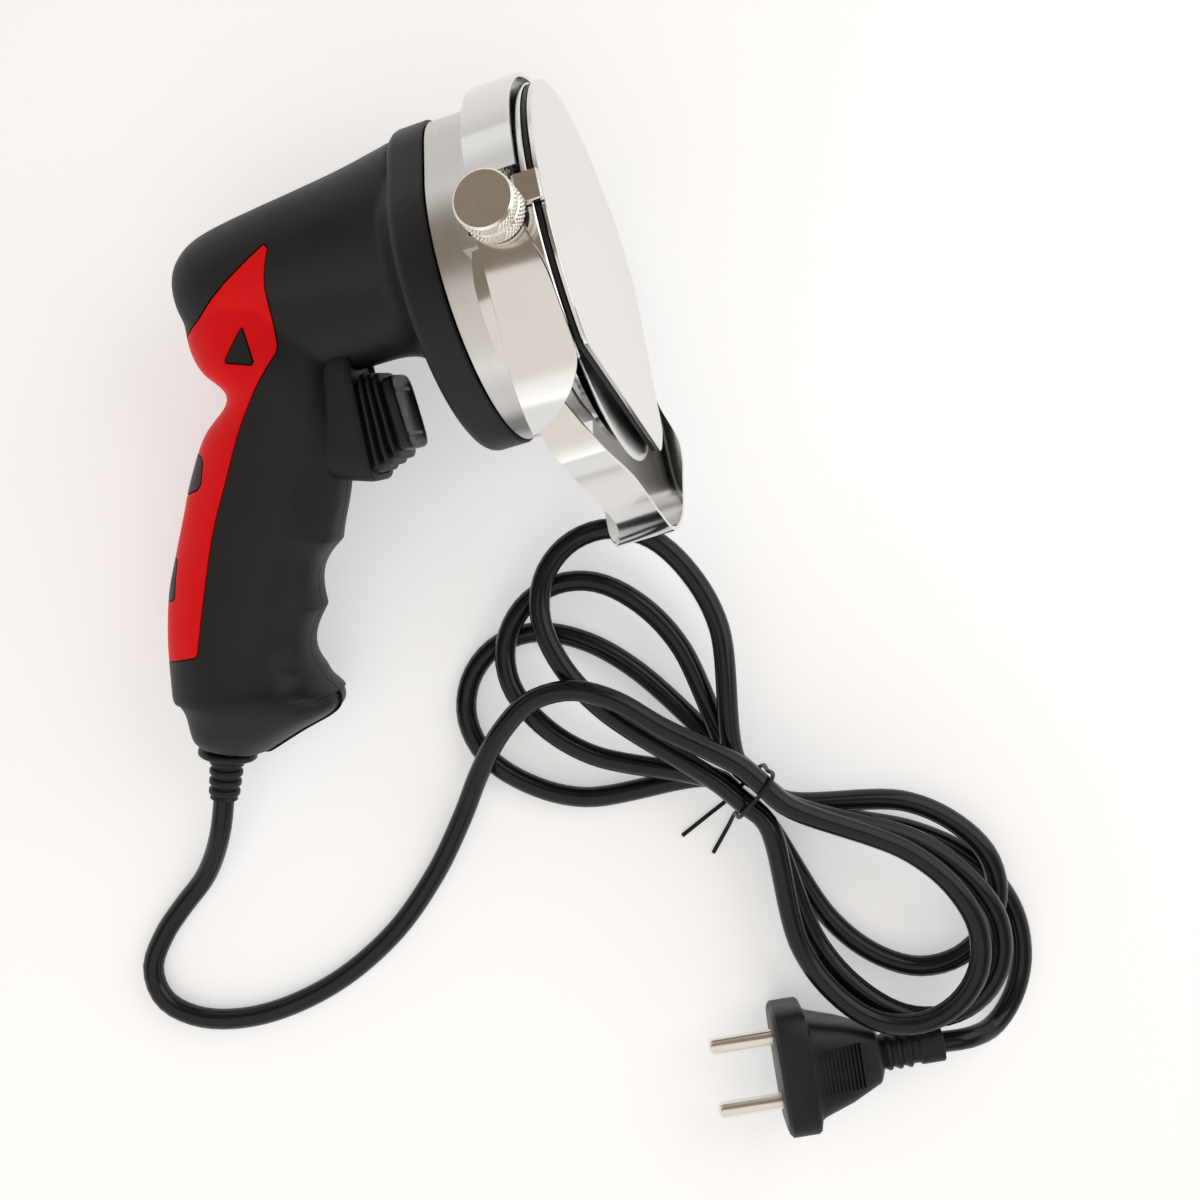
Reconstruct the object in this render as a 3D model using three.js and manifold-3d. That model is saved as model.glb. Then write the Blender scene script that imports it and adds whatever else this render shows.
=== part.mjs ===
// Electric kebab slicer: a pistol-grip housing with a motor and a belt drive, a round dished blade under a
// polished cover, an adjustable slice guide, and a mains cord folded in a tied hank. Lengths in millimetres.
// The tool is drawn upright in its own frame: X along the motor axis towards the blade, from the rear face of
// the front flange; Z up as it is held; Y to the left. It then lies on its left side on the table, +Z up.
import * as THREE from "three";
import { mergeVertices } from "three/addons/utils/BufferGeometryUtils.js";
import Module from "manifold-3d";

const wasm = await Module();
wasm.setup();

// Clearances: between pieces that touch, round a screw, and round a turning shaft.
const GAP = 0.3;
const SCREW_GAP = 0.3;
const RUNNING_GAP = 0.05;

// Drive: two toothed pulleys and a timing belt.
const BELT_PITCH = 3;
const MOTOR_TEETH = 14;
const BLADE_TEETH = 39;
const CENTRE_DISTANCE = 26.6;
const BELT_THICKNESS = 1.7;
const BELT_WIDTH = 6.8;
const MOTOR_Z = 1.8;
const SPINDLE_Z = MOTOR_Z - CENTRE_DISTANCE;
const MOTOR_PITCH_RADIUS = (MOTOR_TEETH * BELT_PITCH) / (2 * Math.PI);
const BLADE_PITCH_RADIUS = (BLADE_TEETH * BELT_PITCH) / (2 * Math.PI);
const TOOTH_DEPTH = 1.1;
const PULLEY_DROP = 0.4;
const PULLEY_MIDDLE_X = 22;
const PULLEY_FLANGE = 0.9;

// Blade and the round shroud and cover that follow it.
const BLADE_RADIUS = 50;
const BLADE_THICKNESS = 1.2;
const BLADE_DISH = 1.7;
const BLADE_CLEARANCE = 0.6;
const RIM_THICKNESS = 0.9;
const SHROUD_RADIUS = BLADE_RADIUS + BLADE_CLEARANCE + RIM_THICKNESS;
const SHROUD_DISC_RADIUS = BLADE_RADIUS - 7;
const COVER_RADIUS = SHROUD_RADIUS;

// Front flange and head: an egg outline round the two axes.
const HEAD_STEP = 10.5;
const EGG_TOP_RADIUS = 27;
const EGG_LOW_RADIUS = SHROUD_RADIUS - HEAD_STEP;
const EGG_LOW_Z = -20.5;
const FLANGE_LENGTH = 10.5;
const FLANGE_WEB = 3;
const FLANGE_WALL = 4;
const HOUSING_INSET = 0.8;
const HOUSING_WALL = 2.2;
const HOUSING_BACK = 2.5;
const HOUSING_REAR_X = FLANGE_LENGTH + GAP;
const HOUSING_FRONT_X = 31;
const PLATE_REAR_X = HOUSING_FRONT_X + GAP;
const PLATE_THICKNESS = 2.7;

// Shroud, seal, cover and clips along the spindle.
const SHROUD_THICKNESS = 1.1;
const SHROUD_REAR_X = PLATE_REAR_X + PLATE_THICKNESS + GAP;
const RIM_FRONT_X = 39.6;
const RIM_HALF_ANGLE = THREE.MathUtils.degToRad(115);
const COVER_THICKNESS = 1.3;
const GASKET_THICKNESS = 1.1;
const GASKET_INSET = 0.4;
const GASKET_REAR_X = RIM_FRONT_X + GAP;
const COVER_REAR_X = GASKET_REAR_X + GASKET_THICKNESS + GAP;
const NEAR_FLAT_ANGLE = THREE.MathUtils.degToRad(26);
const NEAR_FLAT_DISTANCE = COVER_RADIUS - 13.5;
const FAR_FLAT_ANGLE = THREE.MathUtils.degToRad(60);
const FAR_FLAT_DISTANCE = COVER_RADIUS - 6;
const CLIP_ANGLE = THREE.MathUtils.degToRad(21);
const CLIP_WIDTH = 8;
const CLIP_THICKNESS = 1.6;
const CLIP_REAR_X = 36;

// Spindle and its bearings.
const SPINDLE_RADIUS = 4;
const SPINDLE_TAIL_RADIUS = 2.5;
const SEAT_RADIUS = 9;
const SEAT_THICKNESS = 1.4;
const FRONT_BEARING_RADIUS = 11;
const FRONT_BEARING_WIDTH = 6.4;
const SMALL_BEARING_RADIUS = 6.5;
const SMALL_BEARING_WIDTH = 4;
const NUT_RADIUS = 7.2;
const NUT_THICKNESS = 2;

// Handle shells.
const WALL = 2.4;
const PARTING_GAP = 0.3;
const PANEL_DEPTH = 1.3;
// Barrel radius along X, from the flange to its domed rear end.
const BARREL = [
  [0, 23.4],
  [-16, 21],
  [-32, 19.5],
  [-48, 18.2],
  [-60, 16.7],
  [-66.5, 14.4],
  [-71, 10.4],
  [-73.5, 4],
];
const BARREL_END_X = -74;
const NECK_LENGTH = 46;
const NECK_LOW_RADIUS = 15.3;
const NECK_LOW_Z = -14.2;
const NECK_INSET = 3;
// Grip sections from the barrel down to the butt: back point (X, Z), front point (X, Z), half width.
const GRIP = [
  [-72.6, -1, -32, -4, 15.5],
  [-73.4, -11, -33, -17, 17],
  [-71.6, -18, -33, -27, 18],
  [-67.8, -26.3, -36, -39, 17.5],
  [-77, -34, -39.5, -52, 17],
  [-85.2, -44.5, -42.9, -62.7, 17],
  [-90.5, -53.5, -49.9, -72.2, 17.3],
  [-97, -64.5, -56.6, -79.7, 17.5],
  [-102, -73.5, -61.3, -90.5, 18],
  [-106.5, -86, -66.6, -100.4, 18.5],
  [-109.5, -98, -66.4, -108.7, 19.3],
  [-110.4, -103, -63.3, -114, 20.2],
  [-109.1, -107.3, -65.6, -119, 19],
  [-109.7, -115.5, -78, -122.4, 16],
  [-108, -118.5, -90, -126, 12],
];
const GRIP_SIDES = 16;
const GRIP_SQUARENESS = 2.5;
// Side view of the red panel; its back runs past the silhouette.
const PANEL = [
  [-38.4, 7.4],
  [-37.7, 6.2],
  [-41.8, -2.9],
  [-43.5, -18.2],
  [-59, -33.3],
  [-69.6, -48.2],
  [-78.4, -61.8],
  [-86.5, -78.2],
  [-93, -92.3],
  [-120, -91],
  [-120, -60],
  [-80, -14],
  [-64.3, -5.1],
  [-52.6, 1.3],
];
const PANEL_WINDOW = [
  [-51.9, -11],
  [-59.5, -18.1],
  [-51.5, -21.1],
];
// Shell screws, from the left side: X, Z.
const SHELL_SCREWS = [
  [-66.5, 1.8],
  [-67.5, -60],
  [-88, -88],
  [-79, -111],
];
const SCREW_RADIUS = 1.4;
const SCREW_HEAD_RADIUS = 2.8;
const SCREW_HEAD_THICKNESS = 2;
const BOSS_RADIUS = 3.8;
const SCREW_SEAT_Y = 9;
const SCREW_TIP_Y = -8;

// Trigger.
const TRIGGER_TRAVEL = 3.5;
const TRIGGER_Z = -44;
const CAP_FRONT_X = -19;
const CAP_THICKNESS = 3;
const CAP_HALF_HEIGHT = 10.4;
const CAP_HALF_WIDTH = 9;
const CAP_SLIT = 1.2;
const PLUNGER_HEIGHT = 6;
const PLUNGER_WIDTH = 5;
const SWITCH_FRONT_X = -49;
const SWITCH_LENGTH = 18;
const SWITCH_HEIGHT = 20;
const SWITCH_WIDTH = 16;
const SPRING_RADIUS = 5;
const SPRING_WIRE_RADIUS = 0.45;
const SPRING_CURLS = 7;
const BORE_HALF_WIDTH = 6.8;

// Motor.
const MOTOR_RADIUS = 14.8;
const MOTOR_WALL = 1.3;
const MOTOR_REAR_X = -46;
const MOTOR_FRONT_X = -4;
const END_BELL_RADIUS = 13.4;
const END_BELL_LENGTH = 13.5;
const ARMATURE_RADIUS = 11.5;
const COMMUTATOR_RADIUS = 6;
const BRUSH_SIZE = 4;
const SHAFT_RADIUS = 2.5;
const MOUNT_THICKNESS = 2.5;
const MOUNT_RADIUS = 20;

// Slice guide and its clamp.
const GUIDE_THICKNESS = 1.2;
const FLAT_REAR_X = 23.5;
const BAND_REAR_X = 25.5;
const BAND_FRONT_X = 38;
const BAND_TOP_CLEARANCE = 2.3;
const SCOOP_DRAWN_RADIUS = 54.1;
const PETAL_RADIUS = SHROUD_RADIUS + 0.5;
const BAND_RADIUS = PETAL_RADIUS + GUIDE_THICKNESS + GAP;
const CLAMP_ANGLE = THREE.MathUtils.degToRad(16);
const CLAMP_X = 31;
const GUIDE_TRAVEL = 6;
const KNOB_RADIUS = 7.5;
const KNOB_HEIGHT = 10;
const KNOB_GROOVE = 0.8;
const CLAMP_SCREW_RADIUS = 1.7;
const RAIL_WIDTH = 9.6;
const RAIL_WALL = 1.2;
const RAIL_FRONT_X = SHROUD_REAR_X - GAP;
const SLOT_DEPTH = 6.5;
const SLOT_WIDTH = 6.4;
const SLOT_MOUTH = 4.2;
const SLOT_LIP = 2;
const NUT_HALF = SLOT_WIDTH / 2 - GAP;
const RAIL_REAR_X = CLAMP_X - NUT_HALF - GUIDE_TRAVEL - GAP - RAIL_WALL;

// Pose on the table.
const LYING_PITCH = THREE.MathUtils.degToRad(12.65);
const LYING_ROLL = THREE.MathUtils.degToRad(5.9);

// Strain relief at the butt.
const RELIEF_X = -102.2;
const RELIEF_Z = -121.8;
const RELIEF_TILT = THREE.MathUtils.degToRad(24);
const WASHER_RADIUS = 8.5;
const WASHER_THICKNESS = 2;
const SLEEVE_RADIUS = 5;
const SLEEVE_LENGTH = 13;
const STEM_RADIUS = 4.2;
const STEM_LENGTH = 9;
const CORD_RADIUS = 3.1;

// Cord on the table: X, Y, Z from the strain relief towards the hank.
const LEAD = [
  [-80.5, -91, 11.5],
  [-85, -97.5, 8],
  [-91, -104, 4.6],
  [-99, -110, 3.3],
  [-107, -117, 3.3],
  [-113, -126, 3.3],
  [-112, -136, 3.3],
  [-103, -144, 3.3],
  [-86, -148, 3.3],
  [-63, -145, 3.3],
  [-41, -135, 3.3],
  [-24, -121, 3.6],
  [-11, -106, 6.8],
  [-2, -94, 11.8],
  [8, -83.5, 18],
  [19, -77, 23],
  [31, -77, 25.6],
  [42, -83, 26],
  [53, -94, 25.4],
];
// Hank: six lobes from the tie, three to each end, piled one layer on another.
const TIE_X = 73.5;
const TIE_Y = -119.8;
const WAIST_ANGLE = THREE.MathUtils.degToRad(-55.1);
const STRAND_OFFSET = 3.9;
const LAYER = 6.9;
const TIE_LIFT = 1.8;
const LOBE_WIDTH = 21;
// Each lobe: direction in degrees, length; left and right in turn, from the lowest.
const LOBES = [
  [143.5, 89],
  [-46.1, 82],
  [126.5, 86],
  [-56.1, 90],
  [110.9, 90],
  [-61.1, 84],
];
// Last strand, from the plug to the tie.
const LAST_STRAND = [
  [126, -207, 7.2],
  [135, -200, 4.4],
  [140.5, -189, 3.3],
  [141, -175, 3.3],
  [134, -159, 3.3],
  [119, -146, 3.6],
  [100, -136.5, 4.4],
];
const TIE_WIRE_RADIUS = 0.65;

// Plug.
const PLUG_X = 59.9;
const PLUG_Y = -200.9;
const PLUG_Z = 13;
const PLUG_YAW = THREE.MathUtils.degToRad(-5.9);
const PLUG_LENGTH = 49;
const PIN_RADIUS = 2.4;
const PIN_LENGTH = 19;
const PIN_SPACING = 19;

const v3 = (x, y, z) => new THREE.Vector3(x, y, z);

// A closed surface from points and triangles, its faces turned outwards.
function closed(points, triangles) {
  let volume = 0;
  for (const [a, b, c] of triangles) {
    volume += points[a].dot(points[b].clone().cross(points[c]));
  }
  const facing = volume < 0 ? triangles.map(([a, b, c]) => [a, c, b]) : triangles;
  const geometry = new THREE.BufferGeometry().setFromPoints(points);
  geometry.setIndex(facing.flat());
  return geometry;
}

function solid(geometry) {
  const plain = new THREE.BufferGeometry().setAttribute("position", geometry.getAttribute("position"));
  if (geometry.index) plain.setIndex(geometry.index);
  const merged = mergeVertices(plain, 1e-4);
  const index = merged.index.array;
  const faces = [];
  for (let i = 0; i < index.length; i += 3) {
    const [a, b, c] = [index[i], index[i + 1], index[i + 2]];
    if (a !== b && b !== c && c !== a) faces.push(a, b, c);
  }
  const make = (list) =>
    new wasm.Manifold(
      new wasm.Mesh({
        numProp: 3,
        vertProperties: merged.attributes.position.array,
        triVerts: new Uint32Array(list),
      }),
    );
  const made = make(faces);
  if (made.volume() > 0) return made;
  for (let i = 0; i < faces.length; i += 3) [faces[i + 1], faces[i + 2]] = [faces[i + 2], faces[i + 1]];
  return make(faces);
}

function geometryOf(body) {
  const mesh = body.getMesh();
  const points = new Float32Array(mesh.numVert * 3);
  for (let i = 0; i < mesh.numVert; i += 1) {
    points.set(mesh.vertProperties.subarray(i * mesh.numProp, i * mesh.numProp + 3), i * 3);
  }
  const geometry = new THREE.BufferGeometry().setAttribute("position", new THREE.BufferAttribute(points, 3));
  geometry.setIndex(new THREE.BufferAttribute(mesh.triVerts, 1));
  return geometry;
}

const join = (...bodies) => bodies.reduce((a, b) => a.add(b));
const cut = (body, ...tools) => tools.reduce((a, b) => a.subtract(b), body);

// Turned piece: a profile of (radius, distance along the axis), turned about a line.
function turned(profile, base, direction, segments = 24) {
  const outline = profile.map(([r, s]) => new THREE.Vector2(r, s));
  const geometry = new THREE.LatheGeometry(outline, segments);
  geometry.applyQuaternion(new THREE.Quaternion().setFromUnitVectors(v3(0, 1, 0), direction));
  geometry.translate(base.x, base.y, base.z);
  return solid(geometry);
}

const rod = (radius, from, to, base, direction, segments) =>
  turned([[0, from], [radius, from], [radius, to], [0, to]], base, direction, segments);

const ring = (bore, radius, from, to, base, direction, segments) =>
  turned([[bore, from], [radius, from], [radius, to], [bore, to], [bore, from]], base, direction, segments);

const ALONG_X = v3(1, 0, 0);
const ALONG_Y = v3(0, 1, 0);
const ON_MOTOR = v3(0, 0, MOTOR_Z);
const ON_SPINDLE = v3(0, 0, SPINDLE_Z);

const shapeOf = (outline) => new THREE.Shape(outline.map(([u, w]) => new THREE.Vector2(u, w)));

// Plate whose outline is given in Y and Z, between two X values.
function plateX(outline, fromX, toX) {
  const geometry = new THREE.ExtrudeGeometry(shapeOf(outline), { depth: toX - fromX, bevelEnabled: false });
  geometry.applyMatrix4(new THREE.Matrix4().makeBasis(v3(0, 1, 0), v3(0, 0, 1), v3(1, 0, 0)));
  geometry.translate(fromX, 0, 0);
  return solid(geometry);
}

// Plate whose outline is given in X and Z, between two Y values.
function plateY(outline, fromY, toY) {
  const geometry = new THREE.ExtrudeGeometry(shapeOf(outline), { depth: toY - fromY, bevelEnabled: false });
  geometry.applyMatrix4(new THREE.Matrix4().makeBasis(v3(1, 0, 0), v3(0, 0, 1), v3(0, -1, 0)));
  geometry.translate(0, toY, 0);
  return solid(geometry);
}

function block(x0, x1, y0, y1, z0, z1) {
  return plateX([[y0, z0], [y1, z0], [y1, z1], [y0, z1]], x0, x1);
}

// Skin through a row of point rings, closed at both ends.
function skin(rings) {
  const count = rings[0].length;
  const points = rings.flat();
  const triangles = [];
  for (let i = 0; i + 1 < rings.length; i += 1) {
    for (let k = 0; k < count; k += 1) {
      const a = i * count + k;
      const b = i * count + ((k + 1) % count);
      triangles.push([a, b, b + count], [a, b + count, a + count]);
    }
  }
  for (const [start, turn] of [[0, true], [(rings.length - 1) * count, false]]) {
    const middle = points.length;
    const sum = v3(0, 0, 0);
    for (let k = 0; k < count; k += 1) sum.add(points[start + k]);
    points.push(sum.divideScalar(count));
    for (let k = 0; k < count; k += 1) {
      const a = start + k;
      const b = start + ((k + 1) % count);
      triangles.push(turn ? [middle, b, a] : [middle, a, b]);
    }
  }
  return closed(points, triangles);
}

// Round wire or cord through a row of points, its rings carried along without twist.
function wire(points, radius, sides) {
  const rings = [];
  let side = null;
  points.forEach((point, i) => {
    const ahead = points[Math.min(i + 1, points.length - 1)];
    const behind = points[Math.max(i - 1, 0)];
    const along = ahead.clone().sub(behind).normalize();
    if (!side) side = Math.abs(along.z) < 0.9 ? v3(0, 0, 1) : v3(1, 0, 0);
    side = side.clone().addScaledVector(along, -side.dot(along)).normalize();
    const across = along.clone().cross(side);
    const circle = [];
    for (let k = 0; k < sides; k += 1) {
      const a = (2 * Math.PI * k) / sides;
      circle.push(
        point.clone().addScaledVector(side, radius * Math.cos(a)).addScaledVector(across, radius * Math.sin(a)),
      );
    }
    rings.push(circle);
  });
  return skin(rings);
}

// Outline round two circles on the Z axis, found by its support in each direction.
function roundTwo(radiusA, zA, radiusB, zB, grow, count) {
  const outline = [];
  for (let k = 0; k < count; k += 1) {
    const a = (2 * Math.PI * k) / count;
    const onA = zA * Math.sin(a) + radiusA > zB * Math.sin(a) + radiusB;
    const radius = (onA ? radiusA : radiusB) + grow;
    outline.push([radius * Math.cos(a), (onA ? zA : zB) + radius * Math.sin(a)]);
  }
  return outline;
}

const egg = (grow, count = 32) => roundTwo(EGG_TOP_RADIUS, 0, EGG_LOW_RADIUS, EGG_LOW_Z, grow, count);

// Outline moved outwards by an even distance.
function grown(outline, distance) {
  const area = outline.reduce((sum, [x, z], i) => {
    const [nx, nz] = outline[(i + 1) % outline.length];
    return sum + x * nz - nx * z;
  }, 0);
  const sign = area > 0 ? 1 : -1;
  return outline.map(([x, z], i) => {
    const [px, pz] = outline[(i + outline.length - 1) % outline.length];
    const [nx, nz] = outline[(i + 1) % outline.length];
    const before = new THREE.Vector2(x - px, z - pz).normalize();
    const after = new THREE.Vector2(nx - x, nz - z).normalize();
    const outA = new THREE.Vector2(before.y, -before.x).multiplyScalar(sign);
    const outB = new THREE.Vector2(after.y, -after.x).multiplyScalar(sign);
    const bisector = outA.clone().add(outB).normalize();
    const reach = distance / Math.max(bisector.dot(outA), 0.4);
    return [x + bisector.x * reach, z + bisector.y * reach];
  });
}

const tool = new THREE.Group();
tool.name = "tool";

function add(group, name, body, colour, roughness, metalness) {
  const geometry = body.isBufferGeometry ? body : geometryOf(body);
  geometry.computeVertexNormals();
  const mesh = new THREE.Mesh(
    geometry,
    new THREE.MeshStandardMaterial({ color: colour, roughness, metalness }),
  );
  mesh.name = name;
  group.add(mesh);
  return mesh;
}

const black = (group, name, body) => add(group, name, body, 0x16171a, 0.55, 0);
const red = (group, name, body) => add(group, name, body, 0xb5222c, 0.6, 0);
const rubber = (group, name, body) => add(group, name, body, 0x101113, 0.7, 0);
const steel = (group, name, body) => add(group, name, body, 0xc9ccd0, 0.25, 1);
const mirror = (group, name, body) => add(group, name, body, 0xdfe2e6, 0.08, 1);
const brass = (group, name, body) => add(group, name, body, 0xb98f4a, 0.35, 1);

// Handle shells
// One form serves the outside, the inside and the depth of the red panel, each set in by its own distance.
function gripRing([backX, backZ, frontX, frontZ, halfWidth], inset) {
  const along = v3(frontX - backX, 0, frontZ - backZ);
  const half = along.length() / 2 - inset;
  along.normalize();
  const middle = v3((backX + frontX) / 2, 0, (backZ + frontZ) / 2);
  const points = [];
  for (let k = 0; k < GRIP_SIDES; k += 1) {
    const a = (2 * Math.PI * k) / GRIP_SIDES;
    const c = Math.sign(Math.cos(a)) * Math.abs(Math.cos(a)) ** (2 / GRIP_SQUARENESS);
    const s = Math.sign(Math.sin(a)) * Math.abs(Math.sin(a)) ** (2 / GRIP_SQUARENESS);
    points.push(middle.clone().addScaledVector(along, half * c).add(v3(0, (halfWidth - inset) * s, 0)));
  }
  return points;
}

function bodyForm(inset) {
  const rows = inset > 0 ? GRIP.slice(0, -1) : GRIP;
  const grip = solid(skin(rows.map((row) => gripRing(row, inset))));
  const profile = [[0, 0], ...BARREL.map(([x, r]) => [r - inset, Math.max(x, BARREL_END_X + inset)])];
  profile.push([0, BARREL_END_X + inset]);
  const barrel = turned(profile, ON_MOTOR, ALONG_X, 24);
  const start = roundTwo(BARREL[3][1], MOTOR_Z, NECK_LOW_RADIUS, NECK_LOW_Z, -inset, 32);
  const end = egg(-NECK_INSET - inset);
  const neckRings = [0, 0.7, 0.8, 0.88, 0.94, 0.975, 1].map((u) => {
    const blend = u ** 10;
    return start.map(([y, z], k) =>
      v3(-NECK_LENGTH * (1 - u), y + (end[k][0] - y) * blend, z + (end[k][1] - z) * blend),
    );
  });
  return join(grip, barrel, solid(skin(neckRings)));
}

const flange = solid(
  skin(
    [[-0.2, -NECK_INSET], [0.4, -1.4], [1.6, -0.3], [2.6, 0], [FLANGE_LENGTH, 0]].map(([x, grow]) =>
      egg(grow).map(([y, z]) => v3(x, y, z)),
    ),
  ),
);
const outside = bodyForm(0);
const inside = bodyForm(WALL);
const reliefBase = v3(RELIEF_X, 0, RELIEF_Z);
const reliefAlong = v3(-Math.sin(RELIEF_TILT), 0, -Math.cos(RELIEF_TILT));

// Rounded rectangle of the trigger pieces, its plane leaning back by a tilt.
function triggerRing(x, z, tilt, halfHeight, halfWidth) {
  const down = v3(-Math.sin(tilt), 0, -Math.cos(tilt));
  const points = [];
  for (let k = 0; k < 24; k += 1) {
    const a = (2 * Math.PI * (k + 0.5)) / 24;
    const c = Math.sign(Math.cos(a)) * Math.abs(Math.cos(a)) ** 0.5;
    const s = Math.sign(Math.sin(a)) * Math.abs(Math.sin(a)) ** 0.5;
    points.push(v3(x, halfWidth * s, z).addScaledVector(down, halfHeight * c));
  }
  return points;
}

const COLLAR_TILT = THREE.MathUtils.degToRad(26);
const COLLAR_FRONT_TILT = THREE.MathUtils.degToRad(6);
const COLLAR_FRONT_X = -30;
function collarForm(grow) {
  return solid(
    skin([
      triggerRing(COLLAR_FRONT_X - 10, -36.8, COLLAR_TILT, 17.5 + grow, 11.2 + grow),
      triggerRing(COLLAR_FRONT_X - 5.4, -39.6, COLLAR_TILT * 0.7, 18.6 + grow, 11.2 + grow),
      triggerRing(COLLAR_FRONT_X - 1.4, -41.2, COLLAR_FRONT_TILT, 18.8 + grow, 10.8 + grow),
      triggerRing(COLLAR_FRONT_X, -41.5, COLLAR_FRONT_TILT, 18 + grow, 10 + grow),
    ]),
  );
}
const capRear = CAP_FRONT_X - CAP_THICKNESS;
const triggerBore = rod(BORE_HALF_WIDTH, -60, capRear, v3(0, 0, TRIGGER_Z), ALONG_X, 24);

const bosses = SHELL_SCREWS.map(([x, z]) =>
  rod(BOSS_RADIUS, -40, 40, v3(x, 0, z), ALONG_Y, 14).intersect(bodyForm(WALL / 2)),
);
const screwHoles = SHELL_SCREWS.map(([x, z]) =>
  join(
    rod(SCREW_RADIUS + SCREW_GAP, SCREW_TIP_Y - GAP, 40, v3(x, 0, z), ALONG_Y, 10),
    rod(SCREW_HEAD_RADIUS + SCREW_GAP, SCREW_SEAT_Y, 40, v3(x, 0, z), ALONG_Y, 14),
  ),
);

// Housing screws: Y, Z.
const topScrewSide = EGG_TOP_RADIUS - 12.5;
const topScrewZ = EGG_TOP_RADIUS - 14;
const lowScrewCircle = EGG_LOW_RADIUS - 8.5;
const HOUSING_SCREWS = [
  [-topScrewSide, topScrewZ],
  [topScrewSide, topScrewZ],
  [0.8 * lowScrewCircle, EGG_LOW_Z - 0.6 * lowScrewCircle],
  [-0.8 * lowScrewCircle, EGG_LOW_Z - 0.6 * lowScrewCircle],
];
const flangeColumns = HOUSING_SCREWS.map(([y, z]) =>
  rod(4.2, FLANGE_WEB - 1, FLANGE_LENGTH, v3(0, y, z), ALONG_X, 14),
);
const housingScrewHoles = HOUSING_SCREWS.map(([y, z]) =>
  rod(SCREW_RADIUS + SCREW_GAP, FLANGE_WEB + 1, 20, v3(0, y, z), ALONG_X, 10),
);
const flangePocket = cut(plateX(egg(-FLANGE_WALL), FLANGE_WEB, FLANGE_LENGTH + 1), ...flangeColumns);
const flangeBore = rod(18, -6, FLANGE_LENGTH + 1, ON_MOTOR, ALONG_X, 40);

const panelFloor = bodyForm(PANEL_DEPTH + GAP);
const window = plateY(PANEL_WINDOW, -60, 60);
const panelPocket = cut(plateY(grown(PANEL, GAP), -60, 60), plateY(grown(PANEL_WINDOW, -GAP), -60, 60), panelFloor);

const reliefHole = rod(STEM_RADIUS + GAP, -STEM_LENGTH - 4, 12, reliefBase, reliefAlong, 24);
const reliefFace = rod(WASHER_RADIUS + 3, 0, 20, reliefBase, reliefAlong, 32);
let shells = join(cut(join(outside, flange), inside), ...bosses);
shells = cut(shells, flangePocket, cut(flangeBore, ...flangeColumns), panelPocket, triggerBore, collarForm(GAP));
shells = cut(shells, reliefHole, reliefFace, ...screwHoles, ...housingScrewHoles);
const rightSide = block(-200, 100, -100, -PARTING_GAP / 2, -200, 100);
const leftSide = block(-200, 100, PARTING_GAP / 2, 100, -200, 100);
const largest = (body) => body.decompose().sort((a, b) => b.volume() - a.volume())[0];
black(tool, "right_shell", largest(shells.intersect(rightSide)));
black(tool, "left_shell", largest(shells.intersect(leftSide)));

// Red grip panels
const panels = cut(plateY(PANEL, -60, 60).intersect(outside), bodyForm(PANEL_DEPTH), window, collarForm(GAP), ...screwHoles);
red(tool, "right_grip_panel", largest(panels.intersect(rightSide)));
red(tool, "left_grip_panel", largest(panels.intersect(leftSide)));

// Shell screws
SHELL_SCREWS.forEach(([x, z], i) => {
  const shank = rod(SCREW_RADIUS, SCREW_TIP_Y, SCREW_SEAT_Y + 1, v3(x, 0, z), ALONG_Y, 10);
  const headFrom = SCREW_SEAT_Y + GAP;
  const head = rod(SCREW_HEAD_RADIUS, headFrom, headFrom + SCREW_HEAD_THICKNESS, v3(x, 0, z), ALONG_Y, 14);
  steel(tool, `shell_screw_${i + 1}`, join(shank, head));
});

// Trigger: collar, ribbed boot, cap, plunger, spring and switch
black(tool, "trigger_frame", cut(collarForm(0), triggerBore));
const bootFrom = COLLAR_FRONT_X + 0.4;
const bootTo = capRear - 0.4;
const bootRings = [];
for (let k = 0; k <= 6; k += 1) {
  const u = k / 6;
  const proud = k % 2 === 1 ? 1.3 : 0;
  bootRings.push(
    triggerRing(
      bootFrom + (bootTo - bootFrom) * u,
      TRIGGER_Z - 0.6 * (1 - u),
      COLLAR_FRONT_TILT * (1 - u),
      CAP_HALF_HEIGHT + 2.2 - 2.3 * u + proud,
      8.4 - 0.4 * u + proud,
    ),
  );
}
rubber(tool, "trigger_boot", cut(solid(skin(bootRings)), triggerBore));
const capRings = [
  [capRear, 0],
  [CAP_FRONT_X - 0.8, 0],
  [CAP_FRONT_X, -0.8],
].map(([x, grow]) => triggerRing(x, TRIGGER_Z, 0, CAP_HALF_HEIGHT + grow, CAP_HALF_WIDTH + grow));
const slits = [-6.2, 6.2].map((dz) =>
  block(
    CAP_FRONT_X - 0.7,
    CAP_FRONT_X + 1,
    -CAP_HALF_WIDTH + 2,
    CAP_HALF_WIDTH - 2,
    TRIGGER_Z + dz - CAP_SLIT / 2,
    TRIGGER_Z + dz + CAP_SLIT / 2,
  ),
);
black(tool, "trigger_cap", cut(solid(skin(capRings)), ...slits));
black(
  tool,
  "trigger_plunger",
  block(
    SWITCH_FRONT_X + TRIGGER_TRAVEL + GAP,
    capRear - GAP,
    -PLUNGER_WIDTH / 2,
    PLUNGER_WIDTH / 2,
    TRIGGER_Z - PLUNGER_HEIGHT / 2,
    TRIGGER_Z + PLUNGER_HEIGHT / 2,
  ),
);
const springFrom = SWITCH_FRONT_X + SPRING_WIRE_RADIUS + GAP;
const springTo = capRear - SPRING_WIRE_RADIUS - GAP;
const springPoints = [];
for (let k = 0; k <= SPRING_CURLS * 10; k += 1) {
  const u = k / (SPRING_CURLS * 10);
  const a = 2 * Math.PI * SPRING_CURLS * u;
  springPoints.push(
    v3(springFrom + (springTo - springFrom) * u, SPRING_RADIUS * Math.cos(a), TRIGGER_Z + SPRING_RADIUS * Math.sin(a)),
  );
}
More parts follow.
